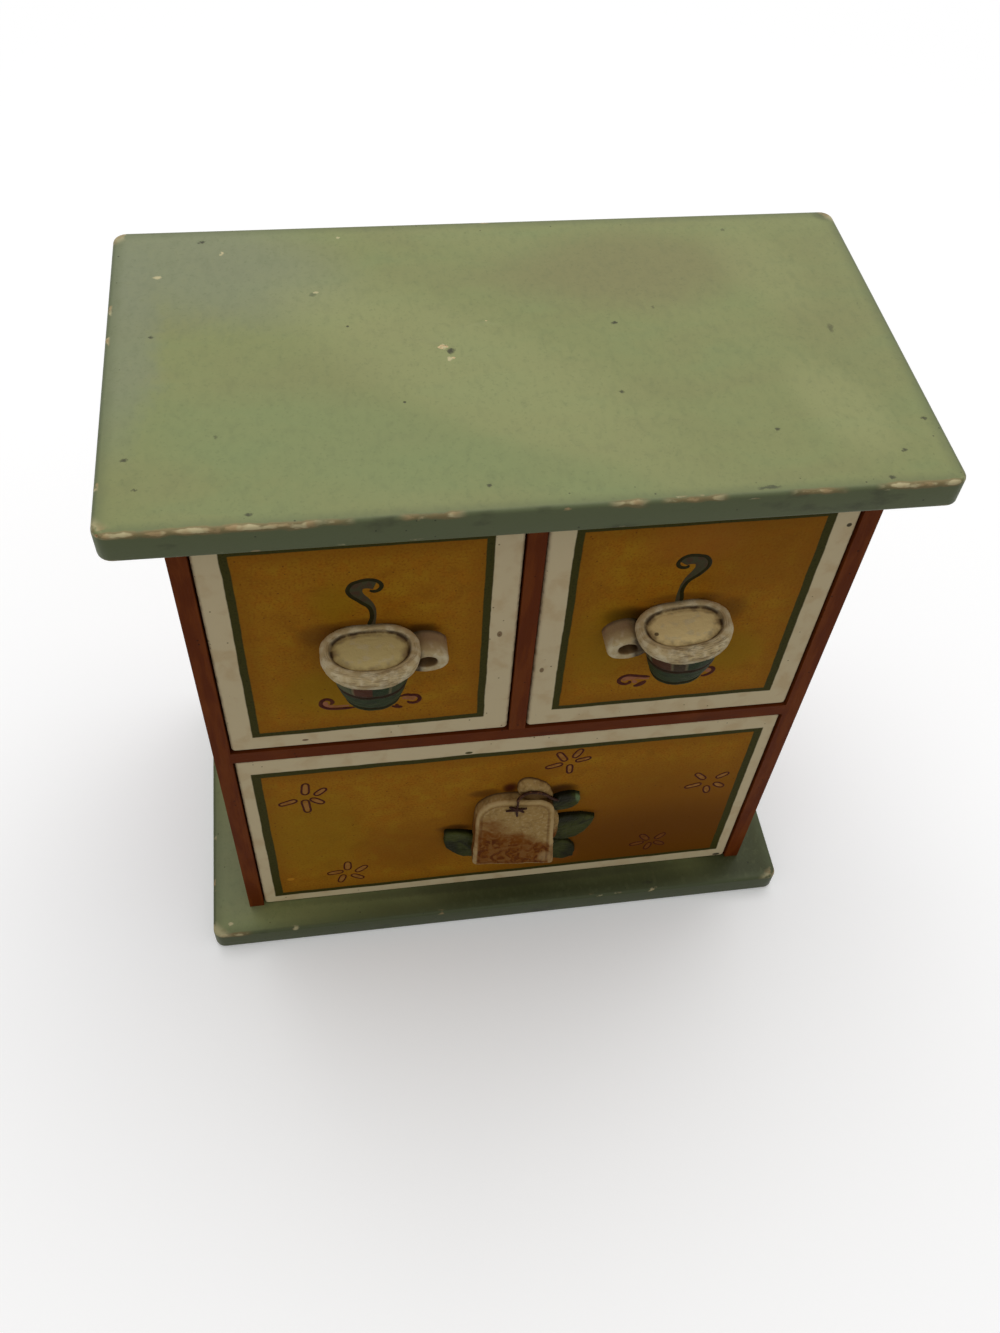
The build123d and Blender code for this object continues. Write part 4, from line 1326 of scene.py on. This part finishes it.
for name, stalk, tip, widths, painted_light_and_shade in leaves:
    outline = bpy.data.curves.new(name, "CURVE")
    outline.dimensions = "2D"
    outline.fill_mode = "BOTH"
    outline.extrude = leaf_flat * mm
    outline.bevel_depth = leaf_round * mm
    outline.bevel_resolution = 3
    outline.offset = -leaf_round * mm
    start, end_point = Vector(stalk), Vector(tip)
    sideways = (end_point - start).normalized().orthogonal()
    ribs = [start.lerp(end_point, share) for share in leaf_shares]
    one_side = [rib + sideways * width / 2 for rib, width in zip(ribs, widths)]
    other_side = [rib - sideways * width / 2 for rib, width in zip(ribs, widths)]
    points = [start, *one_side, end_point, *reversed(other_side)]
    edge = outline.splines.new("BEZIER")
    edge.bezier_points.add(len(points) - 1)
    edge.use_cyclic_u = True
    edge.resolution_u = 10
    for knot, point in zip(edge.bezier_points, points):
        knot.co = (point.x * mm, point.y * mm, 0)
        sharp = point in (start, end_point)
        knot.handle_left_type = knot.handle_right_type = "VECTOR" if sharp else "AUTO"
    blade = to_mesh(name, outline)
    bpy.ops.mesh.remove_doubles(threshold=0.01 * mm)
    blade.rotation_euler = (math.pi / 2, 0, 0)
    blade.location = (0, -leaf_out * mm, 0)
    cast(name, leaf_finish(name + "_green", stalk, tip, painted_light_and_shade), ((6.0, 1.2), (1.6, 0.25)), 4)


string_paint = Finish("string_paint", 0.5, 0.1)
string_rubbed = (tint(96, 62, 36), string_paint.noise(0.9, 3).rise(0.52, 0.68))
string_paint.apply(string_paint.over(string_brown, string_rubbed), string_paint.noise(2.5, 2), 0.0001)


def moulded_line(name, lines, radius):
    """Thin raised lines of the casting through points of across, out and up from the screw, in mm."""
    tapered = []
    for points in lines:
        widths = [0.6] + [1.0] * (len(points) - 2) + [0.6]
        tapered.append([(*place, width) for place, width in zip(points, widths)])
    piece = round_lines(name, radius, tapered)
    piece.location = Vector(tag_middle) * mm
    piece = end(name, string_paint, 60)
    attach(piece, "lower_drawer")


stitch = [
    [(0.2, -6.35, 11.4), (0.0, -5.95, 14.8), (0.2, -5.5, 18.6)],
    [(-4.0, -5.65, 14.6), (0.0, -6.0, 15.3), (3.6, -6.2, 16.1)],
    [(-2.8, -5.55, 16.9), (0.2, -6.0, 15.5), (2.6, -6.35, 13.8)],
]
moulded_line("tag_stitch", stitch, 0.58)
string = [[
    (0.2, -5.5, 18.6), (0.3, -5.0, 20.4), (1.3, -4.6, 21.8), (3.0, -4.4, 23.4), (5.6, -4.3, 23.7),
    (9.1, -4.0, 21.9), (13.3, -3.4, 16.7), (16.0, -2.6, 13.5),
]]
moulded_line("tag_string", string, 0.6)


# Fasteners: steel nails up through the base and the shelf, pins in the back and the drawer boxes, and
# one pan-head screw through each drawer front into its knob. They are bare metal, dulled a little.

steel = Finish("dull_steel", constants={"Metallic": 1.0})
steel_tone = steel.noise(0.8, 3)
steel_colour = steel.over(tint(150, 148, 140), (tint(104, 98, 86), steel_tone.rise(0.5, 0.72)))
steel.apply(steel_colour, steel.noise(3.0, 2), 0.00005, 0.32 + steel_tone * 0.2)
dress(["base_nails", "divider_nails", "back_panel_pins"], steel)
dress([drawer + suffix for drawer in drawers for suffix in ("_pins", "_knob_screw")], steel)


# Floor, light and camera: a plain pale floor under a soft overhead lamp and an even sky, seen from
# above and a little to the left as in the photograph.

floor_size = 24
sky_level = 0.5
floor_bounce = 0.35
floor_glow = 0.16
floor_fade = (300.0, 900.0)
lamp_power = 15.0
lamp_width, lamp_depth = 1.6, 1.2
lamp_place, lamp_aim = (0.1, 0.45, 1.7), (0.0, 0.0, 0.15)

scene = bpy.context.scene
scene.view_settings.view_transform = "Standard"

begin(bpy.ops.mesh.primitive_plane_add, size=floor_size)
floor = end("floor")
floor_finish = Finish("pale_floor", 1.0, 0.0, {"Emission Strength": 1.0})


def seen_as_background(paint):
    """1 for what the camera sees directly, in a mirror or through glass, 0 for light that bounces."""
    rays = paint.node("ShaderNodeLightPath")
    kinds = rays.socket.node.outputs
    seen = Wire(paint, kinds["Is Camera Ray"])
    return seen.most(Wire(paint, kinds["Is Glossy Ray"])).most(Wire(paint, kinds["Is Transmission Ray"]))


seen = seen_as_background(floor_finish)
far = ((floor_finish.x * floor_finish.x + floor_finish.y * floor_finish.y) ** 0.5).rise(*floor_fade)
pale = floor_finish.over((0.96, 0.96, 0.96, 1.0), ((0.0, 0.0, 0.0, 1.0), far))
bounce = (floor_bounce,) * 3 + (1.0,)
floor_finish.feed("Base Color", floor_finish.over(bounce, (pale, seen)))
floor_finish.feed("Emission Color", seen * (far * (1 - floor_glow) + floor_glow))
floor.data.materials.append(floor_finish.material)

world = bpy.data.worlds.new("studio")
scene.world = world
world.use_nodes = True


class Sky(Finish):
    """The world's nodes, made the same way as a finish's."""

    def __init__(self, tree):
        self.tree = tree
        self.shader = tree.nodes["Background"]


sky = Sky(world.node_tree)
sky.shader.inputs["Color"].default_value = (1, 1, 1, 1)
sky.feed("Strength", seen_as_background(sky) * (1 - sky_level) + sky_level)

lamp = bpy.data.lights.new("overhead", "AREA")
lamp.shape = "RECTANGLE"
lamp.size = lamp_width
lamp.size_y = lamp_depth
lamp.energy = lamp_power
overhead = bpy.data.objects.new("overhead", lamp)
scene.collection.objects.link(overhead)
overhead.location = lamp_place
overhead.rotation_euler = (Vector(lamp_place) - Vector(lamp_aim)).to_track_quat("Z", "Y").to_euler()

camera_place = (-0.05559, -0.27867, 0.45765)
pitch, yaw, roll = 0.916, 0.226, 0.099
lens, sensor_width, shift = 33.05, 36, (-0.0099, -0.0015)

ahead = Vector((math.sin(yaw) * math.cos(pitch), math.cos(yaw) * math.cos(pitch), -math.sin(pitch)))
level = ahead.cross(Vector((0, 0, 1))).normalized()
upright = level.cross(ahead)
right = math.cos(roll) * level + math.sin(roll) * upright
up = math.cos(roll) * upright - math.sin(roll) * level
camera_data = bpy.data.cameras.new("camera")
camera_data.lens = lens
camera_data.sensor_width = sensor_width
camera_data.shift_x, camera_data.shift_y = shift
camera = bpy.data.objects.new("camera", camera_data)
scene.collection.objects.link(camera)
camera.matrix_world = Matrix.Translation(camera_place) @ Matrix((right, up, -ahead)).transposed().to_4x4()
scene.camera = camera
